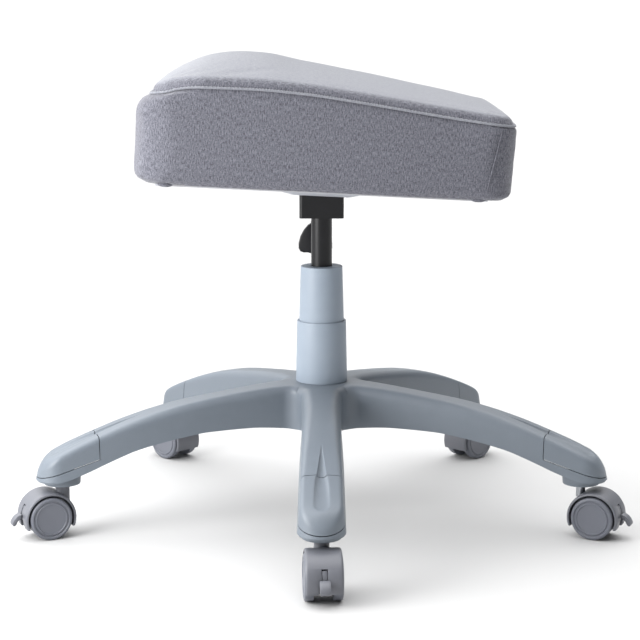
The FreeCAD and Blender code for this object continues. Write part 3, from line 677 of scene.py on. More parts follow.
@dataclass
class StarBase:
    """Five-arm base with inset end caps, bosses, ribs and a hub sleeve."""

    shop: Workshop
    root_half: float = 23.5
    blend: float = 18.0
    draft: float = 2.4
    tip_centre: float = 328.5
    tip_radius: float = 26.5
    tip_drop: float = 10.5
    tip_crown: float = 15.0
    hole: float = 20.0
    wall: float = 3.2
    cap_wall: float = 2.4
    stem_circle: float = 324.0
    socket_level: float = 62.8
    seam_start: float = 282.5
    seam_gap: float = 0.9
    seam_top: float = 94.5
    seam_slope: float = 0.2966
    flute_start: float = 224.0
    flute_depth: float = 3.2
    top_line: tuple = (
        (0.0, 167.2), (34.0, 166.8), (52.0, 166.4), (79.0, 164.4), (129.0, 158.6),
        (179.0, 151.2), (216.0, 143.0), (246.0, 134.2), (279.0, 122.6), (314.0, 109.0),
        (326.0, 103.6), (340.0, 96.8), (356.0, 89.0),
    )
    low_line: tuple = (
        (0.0, 109.0), (35.0, 110.5), (58.0, 114.8), (102.0, 118.3), (151.0, 117.2),
        (183.0, 113.2), (208.0, 108.8), (241.0, 101.2), (269.0, 91.2), (304.0, 77.5),
        (326.0, 70.6), (335.0, 69.4), (356.0, 69.3),
    )

    def __post_init__(self) -> None:
        """Work out where the outline's straight side meets its two arcs."""
        half_angle = SECTOR / 2
        corner = self.root_half / math.sin(half_angle)
        self.corner_reach = corner + self.blend / math.sin(half_angle) - self.blend
        middle = corner + self.blend / math.sin(half_angle)
        self.blend_x = middle * math.cos(half_angle)
        self.blend_y = middle * math.sin(half_angle)
        run = self.tip_centre - self.blend_x
        self.lean = math.asin((self.tip_radius - self.root_half) / run)
        self.touch = Vector((
            self.tip_centre - self.tip_radius * math.sin(self.lean),
            self.tip_radius * math.cos(self.lean),
        ))
        self.rows = self.outline_rows()

    def outline_rows(self) -> list[tuple[Vector, Vector]]:
        """Pairs of centre-line point and outline point, from the hub's hole to the tip."""
        half_angle = SECTOR / 2
        rows = []
        start = self.hole / math.cos(half_angle)
        for step in range(5):
            reach = start + (self.corner_reach - start) * step / 5.0
            edge = Vector((reach * math.cos(half_angle), reach * math.sin(half_angle)))
            rows.append((Vector((edge.x, 0.0)), edge))
        centre = Vector((self.blend_x, self.blend_y))
        first = math.pi + half_angle
        for step in range(13):
            angle = first + (1.5 * math.pi - first) * step / 12.0
            edge = centre + Vector((math.cos(angle), math.sin(angle))) * self.blend
            rows.append((Vector((edge.x, 0.0)), edge))
        self.wall_from = 5
        begin = rows[-1][1]
        for step in range(1, 71):
            edge = begin.lerp(self.touch, step / 70.0)
            rows.append((Vector((edge.x, 0.0)), edge))
        tip = Vector((self.tip_centre, 0.0))
        opening = math.pi / 2 + self.lean
        for step in range(1, 25):
            share = step / 24.0
            angle = opening * (1.0 - share)
            edge = tip + Vector((math.cos(angle), math.sin(angle))) * self.tip_radius
            inner = self.touch.x + (self.tip_centre + 8.0 - self.touch.x) * share
            rows.append((Vector((inner, 0.0)), edge))
        return rows

    def edge_distance(self, x: float, y: float) -> float:
        """Distance in from the outline at a place in the half sector."""
        if x > self.tip_centre:
            return self.tip_radius - math.hypot(x - self.tip_centre, y)
        if x < self.blend_x:
            return math.hypot(x - self.blend_x, y - self.blend_y) - self.blend
        side = self.root_half + (x - self.blend_x) * math.tan(self.lean)
        return (side - y) * math.cos(self.lean)

    def edge_drop(self, x: float, y: float) -> float:
        """Drop of the upper face towards its edge: rounded along the arm, crowned at the tip."""
        inside = self.edge_distance(x, y)
        width = through(((40.0, 11.0), (110.0, 12.0), (200.0, 10.0), (282.0, 5.5)), x)
        depth = through(((40.0, 9.0), (110.0, 12.0), (200.0, 12.0), (282.0, 8.5)), x)
        side = quarter(inside, width, depth)
        if x <= self.tip_centre:
            return side
        aim = (x - self.tip_centre) / max(1e-6, math.hypot(x - self.tip_centre, y))
        tip = self.tip_drop * max(0.0, 1.0 - inside / self.tip_crown) ** 2.2
        return side + (tip - side) * aim * aim

    def flute_half(self, x: float) -> float:
        """Half width of the flute along the arm's top."""
        if x < self.seam_start:
            share = (x - self.flute_start) / (self.seam_start - self.flute_start)
            return max(0.0, 6.0 * share)
        return through(((self.seam_start, 6.6), (300.0, 8.6), (325.0, 9.6)), x)

    def flute(self, x: float, y: float) -> float:
        """Depth of the flute at a place: a wedge on the arm that runs out in the cap."""
        end = 331.0
        half = self.flute_half(x)
        if half <= 0.05 or x > end + 12.0:
            return 0.0
        share = y / half if x < end else math.hypot(x - end, y) / half
        if share >= 1.0:
            return 0.0
        depth = through(
            ((self.flute_start, 0.0), (self.seam_start, self.flute_depth),
             (300.0, 2.9), (325.0, 1.9), (341.0, 1.0)), x)
        return depth * (1.0 - share ** 3)

    def top_height(self, x: float, y: float) -> float:
        """Height of the arm's upper face at a place in the half sector."""
        height = through(self.top_line, math.hypot(x, y))
        fade = min(1.0, max(0.0, (x - 40.0) / 60.0))
        camber = 1.2 * fade * (y / self.tip_radius) ** 2
        drop = self.edge_drop(x, y) if x > 30.0 else 0.0
        return height - camber - drop - self.flute(x, y)

    def across(self, length: float, x: float) -> list[float]:
        """Distances from the centre line at which the upper face has its lines."""
        half = max(2.0, self.flute_half(x)) if x < self.tip_centre else 9.6
        half = min(half, length * 0.4)
        width = min(14.0, (length - half) * 0.7)
        inner = [half * share for share in (0.0, 0.4, 0.7, 0.88, 0.97, 1.03, 1.3)]
        edge = [length - width * share for share in (1.0, 0.8, 0.62, 0.45, 0.3, 0.18, 0.09, 0.03)]
        middle = [inner[-1] + (edge[0] - inner[-1]) * step / 3.0 for step in (1, 2)]
        return inner + middle + edge + [length]

    def half_arm(self) -> bmesh.types.BMesh:
        """Upper face and side wall of one half of the +x arm, as an open shell."""
        columns = len(self.across(20.0, 100.0))
        rows = len(self.rows)
        shell = bmesh.new()
        bmesh.ops.create_grid(shell, x_segments=rows - 1, y_segments=columns - 1, size=0.5)
        for vert in shell.verts:
            row = round((vert.co.x + 0.5) * (rows - 1))
            column = round((vert.co.y + 0.5) * (columns - 1))
            inner, edge = self.rows[row]
            length = (edge - inner).length
            reach = self.across(length, inner.x)[column]
            place = inner.lerp(edge, reach / length)
            height = self.top_height(place.x, place.y)
            drawn = 1.0 - self.drawn_in(edge) / length
            place = inner.lerp(edge, reach / length * drawn)
            vert.co = Vector((place.x, place.y, height)) * MM
        levels = 8
        wall_rows = self.rows[self.wall_from:]
        wall = bmesh.new()
        bmesh.ops.create_grid(
            wall, x_segments=len(wall_rows) - 1, y_segments=levels, size=0.5
        )
        for vert in wall.verts:
            row = round((vert.co.x + 0.5) * (len(wall_rows) - 1))
            share = vert.co.y + 0.5
            edge = wall_rows[row][1]
            high = self.top_height(edge.x, edge.y)
            low = through(self.low_line, edge.length)
            inner = wall_rows[row][0]
            length = (edge - inner).length
            drawn = 1.0 - self.drawn_in(edge) * (1.0 - share) / length
            place = inner.lerp(edge, drawn)
            vert.co = Vector((place.x, place.y, high + (low - high) * share)) * MM
        join(shell, wall)
        bmesh.ops.remove_doubles(shell, verts=shell.verts, dist=1e-6)
        return shell

    def drawn_in(self, edge: Vector) -> float:
        """How far the wall's draft sets its upper edge in from the outline."""
        return self.draft * min(1.0, max(0.0, (edge.length - 60.0) / 60.0))

    def seam_level(self, x: float) -> float:
        """Height of the seam between cap and arm at a distance along the arm."""
        return self.seam_top - self.seam_slope * (x - self.seam_start)

    def split(self, shell: bmesh.types.BMesh) -> tuple[bmesh.types.BMesh, bmesh.types.BMesh]:
        """Cut the half arm along its seam.

        Args:
            shell: Half arm; freed here.

        Returns:
            The arm's own part and the cap's part.
        """
        slope = Vector((self.seam_slope, 0.0, 1.0)).normalized()
        cuts = []
        for gap in (0.0, self.seam_gap):
            cuts.append((Vector((self.seam_start + gap, 0, 0)), Vector((1, 0, 0))))
            cuts.append((Vector((self.seam_start, 0, self.seam_top - gap)), slope))
        for point, normal in cuts:
            near = {f for f in shell.faces if f.calc_center_median().x > 0.27}
            geom = list(near)
            geom += list({e for f in near for e in f.edges})
            geom += list({v for f in near for v in f.verts})
            bmesh.ops.bisect_plane(
                shell, geom=geom, dist=1e-7, plane_co=point * MM, plane_no=normal
            )
        parts = []
        for wanted in ("arm", "cap"):
            part = shell.copy()
            drop = []
            for face in part.faces:
                middle = face.calc_center_median() / MM
                seam = self.seam_level(middle.x)
                cap = middle.x > self.seam_start + self.seam_gap and middle.z > seam
                arm = middle.x < self.seam_start or middle.z < seam - self.seam_gap
                if not (cap if wanted == "cap" else arm):
                    drop.append(face)
            bmesh.ops.delete(part, geom=drop, context="FACES")
            parts.append(part)
        shell.free()
        return parts[0], parts[1]

    def mirrored(self, half: bmesh.types.BMesh) -> bmesh.types.BMesh:
        """Whole shape from its half on the +y side."""
        bmesh.ops.mirror(
            half, geom=list(half.verts) + list(half.edges) + list(half.faces),
            merge_dist=1e-6, axis="Y",
        )
        bmesh.ops.remove_doubles(half, verts=half.verts, dist=1e-6)
        bmesh.ops.recalc_face_normals(half, faces=half.faces)
        return half

    def thickened(self, shell: bmesh.types.BMesh, wall: float) -> bmesh.types.BMesh:
        """Give an open shell its wall inwards, with closed rims."""
        mesh = bpy.data.meshes.new("shell")
        shell.to_mesh(mesh)
        shell.free()
        tool = bpy.data.objects.new("shell", mesh)
        bpy.context.scene.collection.objects.link(tool)
        step = tool.modifiers.new("wall", "SOLIDIFY")
        step.thickness = wall * MM
        step.offset = -1.0
        self.shop.keep_modified(tool)
        result = bmesh.new()
        result.from_mesh(tool.data)
        bpy.data.objects.remove(tool)
        return result

    def arm_fittings(self) -> bmesh.types.BMesh:
        """Boss, floor, socket and ribs inside the +x arm."""
        level = self.socket_level
        bore = 5.6
        boss = turned(rounded([
            (bore, level), (21.6, level), (22.4, level + 12.0), (bore, level + 12.0)], 0.9))
        core = turned([(bore, level + 11.0), (11.0, level + 11.0), (11.0, level + 27.0),
                       (bore, level + 27.0)], 32)
        fittings = moved(join(boss, core), Matrix.Translation((self.stem_circle * MM, 0, 0)))
        floor = turned([(0.0, level + 4.6), (25.0, level + 4.6), (25.0, level + 9.0),
                        (0.0, level + 9.0)], 48)
        socket_floor = moved(floor, Matrix.Translation((self.tip_centre * MM, 0, 0)))
        join(fittings, socket_floor)
        for step in range(7):
            x = self.seam_start - 3.0 - 36.0 * step
            low = through(self.low_line, x) + 3.0
            high = through(self.top_line, x) - 8.0
            join(fittings, block((x - 1.2, -21.0, low), (x + 1.2, 21.0, high)))
        steps = 14
        for step in range(steps):
            x0 = 40.0 + (self.seam_start - 43.0) * step / steps
            x1 = 40.0 + (self.seam_start - 43.0) * (step + 1) / steps
            low = through(self.low_line, (x0 + x1) / 2) + 3.0
            high = through(self.top_line, x1) - 8.0
            join(fittings, block((x0, -1.2, low), (x1, 1.2, high)))
        return fittings

    def build(self) -> None:
        """Make the star and its five caps."""
        arm_half, cap_half = self.split(self.half_arm())
        arm = self.mirrored(arm_half)
        cap = self.thickened(self.mirrored(cap_half), self.cap_wall)
        star = bmesh.new()
        fittings = self.arm_fittings()
        inside = bmesh.new()
        for index in range(ARM_COUNT):
            turn = Matrix.Rotation(FIRST_ARM + SECTOR * index, 4, "Z")
            join(star, moved(arm.copy(), turn))
            join(inside, moved(fittings.copy(), turn))
            self.shop.finish(
                moved(cap.copy(), turn), f"end_cap_{index + 1}", "base", Slot.BASE,
                [f"arm_cap_{index + 1}"],
            )
        for work in (arm, cap, fittings):
            work.free()
        bmesh.ops.remove_doubles(star, verts=star.verts, dist=2e-6)
        bmesh.ops.recalc_face_normals(star, faces=star.faces)
        star = self.thickened(star, self.wall)
        sleeve = turned([(22.6, 107.0), (31.0, 107.0), (31.0, 167.0), (22.6, 167.0)])
        self.shop.finish(
            join(star, inside, sleeve), "star_base", "base", Slot.BASE, ["base_star"]
        )


# ------------------------------------------------------------------ column


@dataclass
class Column:
    """Two telescoping covers over the gas lift's tube."""

    shop: Workshop
    hub_top: float = 167.0
    lower_top: float = 242.0
    upper_top: float = 309.0
    lower_radii: tuple[float, float] = (31.5, 29.8)
    upper_radii: tuple[float, float] = (27.3, 25.4)
    cylinder_radius: float = 12.7

    def build(self) -> None:
        """Make the two covers."""
        bottom, top = self.lower_radii
        self.shop.finish(
            turned(rounded([
                (bottom - 2.0, self.hub_top), (bottom, self.hub_top),
                (top, self.lower_top), (top - 2.0, self.lower_top)], 0.7)),
            "lower_cover_shell", "base", Slot.COVER, ["lower_cover"],
        )
        bottom, top = self.upper_radii
        low = self.lower_top - 36.0
        flare = bottom + (bottom - top) * 36.0 / (self.upper_top - self.lower_top)
        self.shop.finish(
            turned(rounded([
                (13.2, self.upper_top - 2.4), (top - 2.0, self.upper_top - 2.4),
                (flare - 2.0, low), (flare, low), (top, self.upper_top - 0.4),
                (top - 1.4, self.upper_top), (13.2, self.upper_top)], 0.6)),
            "upper_cover_shell", "base", Slot.COVER, ["upper_cover"],
        )


# ------------------------------------------------------------------ castors


@dataclass
class Castor:
    """Twin-wheel castor: hood, two wheels and brake pedal, as one of five."""

    shop: Workshop
    index: int
    trail_turn: float
    trail: float = 20.0
    centre: float = 25.5
    hood_inner: float = 28.0
    hood_radius: float = 31.0
    hood_half: float = 20.0
    web_half: float = 9.0
    hood_floor: float = 14.5
    neck_radius: float = 8.4
    socket_level: float = 62.8

    def place(self) -> Matrix:
        """Place of the castor: its stem's axis on the floor, +x along its trail."""
        turn = FIRST_ARM + SECTOR * (self.index - 1)
        reach = 324.0 * MM
        stem = Vector((math.cos(turn) * reach, math.sin(turn) * reach, 0.0))
        return Matrix.Translation(stem) @ Matrix.Rotation(math.radians(self.trail_turn), 4, "Z")

    def across(self) -> Matrix:
        """Turn from a shape's own z axis to the wheels' axis."""
        return Matrix.Translation((self.trail * MM, 0, self.centre * MM)) @ Matrix.Rotation(
            math.radians(-90.0), 4, "X"
        )

    def hood(self) -> bmesh.types.BMesh:
        """Arched cover with its web, cut level above the floor."""
        r_out, r_in = self.hood_radius, self.hood_inner
        half, web = self.hood_half, self.web_half
        side = [
            (r_in, half - 0.4), (r_in + 0.4, half), (r_out - 2.4, half), (r_out - 1.3, half - 0.3),
            (r_out - 0.5, half - 1.1), (r_out - 0.15, half - 2.2), (r_out, half - 4.0),
        ]
        profile = [(0.0, web), (r_in - 1.0, web), (r_in, web + 1.0)] + side
        profile += [(r, -y) for r, y in profile[::-1]]
        barrel = moved(turned(profile, 96, closed=False), self.across())
        cut = bmesh.ops.bisect_plane(
            barrel,
            geom=list(barrel.verts) + list(barrel.edges) + list(barrel.faces),
            dist=1e-7,
            plane_co=(0, 0, self.hood_floor * MM),
            plane_no=(0, 0, -1),
            clear_outer=True,
        )
        rim = [e for e in cut["geom_cut"] if isinstance(e, bmesh.types.BMEdge)]
        bmesh.ops.triangle_fill(barrel, edges=rim, use_beauty=True)
        bmesh.ops.recalc_face_normals(barrel, faces=barrel.faces)
        return barrel

    def neck(self) -> bmesh.types.BMesh:
        """Collar that holds the stem, rising from the hood."""
        top = self.socket_level - 1.0
        return turned(rounded([
            (5.7, 44.0), (self.neck_radius, 40.0), (self.neck_radius, top), (5.7, top)], 0.7), 64)

    def wheel(self, side: int) -> bmesh.types.BMesh:
        """Wheel with a rounded tread, a dished face and a raised ring.

        Args:
            side: 1 for the left wheel, -1 for the right.

        Returns:
            The wheel in its place.
        """
        r = self.centre
        profile = [
            (0.0, 20.1), (16.9, 20.1), (17.5, 20.2), (17.9, 20.75), (19.2, 20.8), (19.6, 20.3),
            (19.9, 19.9), (21.0, 19.9), (21.4, 20.3), (21.9, 20.9), (22.5, 21.0), (23.6, 20.9),
            (24.6, 20.4), (25.2, 19.6), (r, 18.4), (r, 11.6), (25.2, 10.9), (24.4, 10.5),
            (20.6, 10.5), (20.4, 10.7), (20.4, 16.6), (7.0, 16.6), (7.0, 9.5), (3.1, 9.5),
            (3.1, 18.4), (0.0, 18.4),
        ]
        bm = turned(profile, 96, closed=False)
        if side > 0:
            return moved(bm, self.across() @ Matrix.Rotation(0.0, 4, "X"))
        return moved(bm, self.across() @ Matrix.Rotation(math.pi, 4, "X"))

    def brake(self) -> bmesh.types.BMesh:
        """Brake pedal: narrow shank inside the web and a wide curled toe plate."""
        x, z = self.trail + 20.0, self.centre + 9.0
        edge = self.trail + self.hood_radius + 2.0
        rim = [
            (self.trail + 30.6 * math.cos(turn), self.centre + 30.6 * math.sin(turn))
            for turn in (0.5, 0.4, 0.3, 0.2, 0.1)
        ]
        shank = plate([
            (x - 3.5, z), (x - 2.0, z + 3.5), (x + 2.5, z + 5.5)] + rim + [
            (edge + 0.6, z - 3.6), (edge + 0.6, z - 8.2), (x + 4.0, z - 6.5),
            (x - 2.0, z - 3.5)], -2.8, 2.8, 0.5)
        toe = plate([
            (edge - 0.6, z - 3.2), (edge + 2.2, z - 3.7), (edge + 5.4, z - 5.6),
            (edge + 8.2, z - 8.6), (edge + 10.0, z - 11.8), (edge + 10.4, z - 14.4),
            (edge + 9.4, z - 16.4), (edge + 7.4, z - 16.4), (edge + 5.6, z - 14.6),
            (edge + 4.2, z - 11.6), (edge + 2.4, z - 9.4), (edge - 0.6, z - 8.4)],
            -5.8, 5.8, 0.8)
        pin = moved(
            turned([(0.0, -8.0), (1.5, -8.0), (1.5, 8.0), (0.0, 8.0)], 24, closed=False),
            Matrix.Translation((x * MM, 0, z * MM)) @ Matrix.Rotation(math.pi / 2, 4, "X"),
        )
        return join(shank, toe, pin)

    def build(self) -> None:
        """Make the castor's pieces."""
        number, place = self.index, self.place()
        shop = self.shop
        hood = shop.finish(
            moved(join(self.hood(), self.neck()), place), f"hood_{number}", f"castor_{number}",
            Slot.CASTOR, [f"castor_hood_{number}"], outward=False,
        )
        floor = self.hood_floor - 1.0
        reach = self.trail + self.hood_inner - 4.0
        shop.cut(hood, [
            moved(block((self.trail + 9.0, -3.3, floor), (90.0, 3.3, 42.0)), place),
            moved(block((reach, -6.6, floor), (90.0, 6.6, 24.6)), place),
        ])
        soften = hood.modifiers.new("soft_edges", "BEVEL")
        soften.width = 0.5 * MM
        soften.segments = 2
        soften.limit_method = "ANGLE"
        soften.angle_limit = math.radians(50.0)
        for side, name in ((1, "left"), (-1, "right")):
            shop.finish(
                moved(self.wheel(side), place), f"{name}_wheel_shell_{number}",
                f"{name}_wheel_{number}", Slot.WHEEL, [f"wheel_{name}_{number}"],
            )
        shop.finish(
            moved(self.brake(), place), f"brake_pedal_{number}", f"brake_{number}", Slot.CASTOR,
            [f"brake_lever_{number}"],
        )


# ------------------------------------------------------------------ seat


@dataclass
class WedgeCushion:
    """Upholstered wedge: piped upper edge, crowned top, foam sides and a recess for the board."""

    shop: Workshop
    half_length: float = 213.5
    half_depth: float = 175.0
    thin_lean: float = 2.5
    corner_thick: float = 40.0
    corner_thin: float = 28.0
    level: float = 416.5
    tilt: float = 2.8
    roll_width: float = 10.0
    roll_rise: float = 11.5
    recess_inset: float = 17.6
    recess_height: float = 12.4
    piping_radius: float = 1.3
    swell: float = 4.0
    top_swell: float = 1.0
    pressure: float = 4.0
    frames: int = 20
    end_seam: tuple = (182.0, 197.0)
    side_line: tuple = (
        (-211.0, 99.0), (-190.0, 102.0), (-172.0, 106.5), (-140.0, 109.8), (-80.0, 110.4),
        (-24.0, 108.0), (31.0, 102.5), (87.0, 96.0), (142.0, 89.5), (197.0, 84.0),
        (211.0, 83.0),
    )
    crown_line: tuple = (
        (-211.0, 30.0), (-130.0, 30.0), (-80.0, 25.5), (-26.0, 18.0), (40.0, 15.0),
        (100.0, 14.0), (160.0, 17.0), (211.0, 19.0),
    )

    def place(self) -> Matrix:
        """Place of the seat's underside plane."""
        return Matrix.Translation((0, 0, self.level * MM)) @ Matrix.Rotation(
            math.radians(self.tilt), 4, "Y"
        )

    def corner(self, x: float) -> float:
        """Plan radius of the corners at the thick or the thin end."""
        return self.corner_thick if x < 0 else self.corner_thin

    def edge_distance(self, x: float, y: float) -> float:
        """Distance in from the plan outline."""
        radius = self.corner(x)
        gap_x = abs(x) - (self.half_length - radius)
        gap_y = abs(y) - (self.half_depth - radius)
        outside = math.hypot(max(gap_x, 0.0), max(gap_y, 0.0))
        return radius - outside - min(max(gap_x, gap_y), 0.0)

    def inside(self, place: Vector) -> float:
        """Distance of a place on the top panel in from the piped edge."""
        top = through(self.side_line, place.x)
        return max(0.0, self.edge_distance(place.x, place.y) - self.pull(place.x, 0.0, top, top))

    def rolled_edge_shade(self, place: Vector) -> float:
        """How far the top panel takes the side band's painted shade: 1 at the piped edge, where the
        rolled edge turns away from the light.
        """
        share = 1.0 - self.inside(place) / (self.roll_width * 0.8)
        return min(1.0, max(0.0, share) * 1.6) * (1.0 if place.z > 60.0 else 0.0)

    def plan(self, u: float, v: float, inset: float) -> Vector:
        """Point of the plan for square coordinates from -1 to 1.

        Args:
            u: Share along the length.
            v: Share along the depth.
            inset: How far the outline is pulled in.

        Returns:
            The point in millimetres.
        """
        half_x = self.half_length - inset
        half_y = self.half_depth - inset
        x, y = u * half_x, v * half_y
        radius = max(2.0, self.corner(x) - inset)
        gap_x = abs(x) - (half_x - radius)
        gap_y = abs(y) - (half_y - radius)
        if gap_x > 0 and gap_y > 0:
            scale = max(gap_x, gap_y) / math.hypot(gap_x, gap_y)
            x = math.copysign(half_x - radius + gap_x * scale, x)
            y = math.copysign(half_y - radius + gap_y * scale, y)
        return Vector((x, y))

    def pull(self, x: float, y: float, height: float, top: float) -> float:
        """How far the side stands in from its fullest line at a height.

        Args:
            x: Place along the length.
            y: Place along the depth; not used.
            height: Height above the underside.
            top: Height of the piped edge here.

        Returns:
            The inset in millimetres.
        """
        end = min(1.0, max(0.0, (-x - 140.0) / 60.0))
        upper = 3.5 + 13.5 * end
        lower = 9.0 + 4.0 * end
        low_fold = quarter(height, lower, lower)
        lean = self.thin_lean * min(1.0, max(0.0, (x - 150.0) / 50.0)) * height / top
        return low_fold + quarter(top - height, upper + 3.0, upper) - lean

    def top_height(self, x: float, y: float, inside: float) -> float:
        """Height of the crowned top at a distance inside its piped edge."""
        rise = through(self.side_line, x)
        roll = self.roll_rise - quarter(inside, self.roll_width, self.roll_rise)
        seam = self.pull(x, 0.0, rise, rise)
        crown = through(self.crown_line, x)
        for gap in (self.half_length - abs(x), self.half_depth - abs(y)):
            share = min(1.0, max(0.0, gap - seam) / self.half_depth)
            crown *= 1.0 - (1.0 - share) ** 2
        return rise + roll + crown

    def shell(self) -> bmesh.types.BMesh:
        """Closed cushion shape on the underside plane."""
        bm = bmesh.new()
        bmesh.ops.create_cube(bm, size=2.0)
        for axis, cuts in ((0, 75), (1, 63), (2, 23)):
            edges = [
                e for e in bm.edges
                if abs(e.verts[0].co[axis] - e.verts[1].co[axis]) > 1e-6
            ]
            bmesh.ops.subdivide_edges(bm, edges=edges, cuts=cuts, use_grid_fill=True)
        painted_shade = bm.verts.layers.float.new("painted_shade")
        held = []
        loose = []
        for vert in bm.verts:
            u, v, w = vert.co
            rim = max(abs(u), abs(v)) > 1 - 1e-6
            if w < -0.97 or (rim and w > 1 - 1e-6):
                held.append(vert.index)
            share = math.sin(math.pi * (w + 1) / 2) if rim else 0.0
            inset = self.swell * 0.3 * share
            place = self.shaped(u, v, w)
            if rim:
                flat = Vector((place.x, place.y))
                flat -= flat.normalized() * inset
                place = Vector((flat.x, flat.y, place.z))
            # Painted shade: the side band gets the full darker side tones, the top's rolled edge a
            # share of them.
            vert[painted_shade] = 1.0 if rim else self.rolled_edge_shade(place)
            if not rim and w > 0:
                place.z -= self.top_swell * 0.5 * min(1.0, self.inside(place) / 40.0)
                loose.append(vert.index)
            vert.co = place * MM
        bmesh.ops.recalc_face_normals(bm, faces=bm.faces)
        return self.swollen(bm, held, set(loose))

    def swollen(
        self, bm: bmesh.types.BMesh, held: list[int], top: set[int]
    ) -> bmesh.types.BMesh:
        """Blow the cover out between its seams by cloth simulation.

        Args:
            bm: Cushion shape; its points are moved here.
            held: Indices of the points sewn down: the piped edge and the underside.
            top: Indices of the points of the top panel, which is laid tight over the foam.

        Returns:
            The same shape, each point moved by less than the swell.
        """
        mesh = bpy.data.meshes.new("cover")
        bm.to_mesh(mesh)
        cover = bpy.data.objects.new("cover", mesh)
        bpy.context.scene.collection.objects.link(cover)
        group = cover.vertex_groups.new(name="sewn")
        group.add(held, 1.0, "REPLACE")
        cloth = cover.modifiers.new("swell", "CLOTH")
        cloth.settings.quality = 5
        cloth.settings.vertex_group_mass = "sewn"
        cloth.settings.use_pressure = True
        cloth.settings.uniform_pressure_force = self.pressure
        cloth.settings.effector_weights.gravity = 0.0
        cloth.collision_settings.use_collision = False
        scene = bpy.context.scene
        for frame_number in range(1, self.frames + 1):
            scene.frame_set(frame_number)
        graph = bpy.context.evaluated_depsgraph_get()
        blown = cover.evaluated_get(graph).to_mesh()
        bm.verts.ensure_lookup_table()
        largest = 0.0
        for vert in bm.verts:
            limit = (self.top_swell if vert.index in top else self.swell) * MM
            move = blown.vertices[vert.index].co - vert.co
            largest = max(largest, move.length)
            vert.co += move * limit / (limit + move.length)
        log.info("cover swelled by %.1f mm before its limit", largest / MM)
        scene.frame_set(1)
        bpy.data.objects.remove(cover)
        bpy.data.meshes.remove(mesh)
        bmesh.ops.recalc_face_normals(bm, faces=bm.faces)
        return bm

    def shaped(self, u: float, v: float, w: float) -> Vector:
        """Place on the cushion for a point of the cube."""
        near_u = math.copysign(1 - (1 - abs(u)) ** 1.25, u)
        near_v = math.copysign(1 - (1 - abs(v)) ** 1.25, v)
        rim = self.plan(near_u, near_v, 0.0)
        top = through(self.side_line, rim.x)
        if max(abs(u), abs(v)) > 1 - 1e-6:
            share = (w + 1) / 2
            height = top * share
            inset = self.pull(rim.x, rim.y, height, top)
            place = self.plan(near_u, near_v, inset)
            return Vector((place.x, place.y, height))
        if w > 0:
            inset = self.pull(rim.x, rim.y, top, top)
            place = self.plan(near_u, near_v, inset)
            inside = max(0.0, self.edge_distance(place.x, place.y) - inset)
            return Vector((place.x, place.y, self.top_height(place.x, place.y, inside)))
        inset = self.pull(rim.x, rim.y, 0.0, top)
        place = self.plan(near_u, near_v, inset)
        inside = self.edge_distance(place.x, place.y)
        height = self.recess_height if inside > self.recess_inset else 0.0
        return Vector((place.x, place.y, height))

    def seam_path(self, lift: float, steps: int = 220) -> list[Vector]:
        """Closed line of the piped edge on the underside plane, in metres."""
        points = []
        for step in range(steps + 1):
            angle = 2 * math.pi * (step % steps) / steps
            ray = Vector((math.cos(angle), math.sin(angle)))
            scale = 1.0 / max(abs(ray.x), abs(ray.y))
            u, v = ray.x * scale, ray.y * scale
            rim = self.plan(u, v, 0.0)
            top = through(self.side_line, rim.x)
            place = self.plan(u, v, self.pull(rim.x, rim.y, top, top) - 1.5)
            points.append(Vector((place.x, place.y, top + lift)) * MM)
        return points

    def stitches(self) -> bmesh.types.BMesh:
        """Row of short stitches along the upper side of the piped edge."""
        bm = bmesh.new()
        path = self.seam_path(self.piping_radius + 0.9, 420)
        for here, there in zip(path, path[1:]):
            along = there - here
            turn = along.to_track_quat("X", "Z").to_matrix().to_4x4()
            place = Matrix.Translation((here + there) / 2) @ turn
            shape = Matrix.Diagonal((along.length * 0.36 / MM, 0.42, 0.42, 1.0))
            bmesh.ops.create_uvsphere(
                bm, u_segments=6, v_segments=4, radius=MM, matrix=place @ shape
            )
        return bm

    def end_seams(self) -> bmesh.types.BMesh:
        """Upright seams at the thin end, and the small tucks of cloth under the corners."""
        bm = bmesh.new()
        low, high = self.end_seam
        for side in (-1.0, 1.0):
            points = []
            for step in range(15):
                share = 0.04 + 0.93 * step / 14.0
                x = low + (high - low) * share
                top = through(self.side_line, x)
                height = top * share
                inset = self.pull(x, 0.0, height, top)
                place = self.plan(x / self.half_length, side, inset + 0.1)
                points.append(Vector((place.x, place.y, height)) * MM)
            join(bm, rod_along(points, 0.7, 8))
            for end in (-1.0, 1.0):
                tuck = Vector((end * 176.0, side * (self.half_depth - 13.0), 0.2)) * MM
                bmesh.ops.create_uvsphere(
                    bm, u_segments=16, v_segments=8, radius=MM,
                    matrix=Matrix.Translation(tuck) @ Matrix.Diagonal((9.0, 6.0, 3.2, 1.0)),
                )
        return bm

    def cloth_map(self, bm: bmesh.types.BMesh) -> None:
        """Lay the cloth's own map on the piece, in metres along each panel."""
        layer = bm.loops.layers.uv.new("cloth")
        for face in bm.faces:
            normal = face.normal
            for loop in face.loops:
                place = loop.vert.co
                if abs(normal.z) > 0.6:
                    loop[layer].uv = (place.y, place.x)
                elif abs(normal.y) > abs(normal.x):
                    loop[layer].uv = (place.x, place.z)
                else:
                    loop[layer].uv = (place.y, place.z)

    def build(self) -> None:
        """Make the cushion and its piping."""
        shell = self.shell()
        self.cloth_map(shell)
        cushion = self.shop.finish(
            moved(shell, self.place()), "wedge_cushion", "seat", Slot.FABRIC, ["seat_cushion"]
        )
        piping = rod_along(self.seam_path(0.9), self.piping_radius, 10)
        self.cloth_map(piping)
        self.shop.finish(
            moved(piping, self.place()), "edge_piping", "seat", Slot.FABRIC
        )
        self.shop.finish(
            moved(self.stitches(), self.place()), "edge_stitches", "seat", Slot.FABRIC,
            wears=THREAD,
        )
        seams = self.end_seams()
        self.cloth_map(seams)
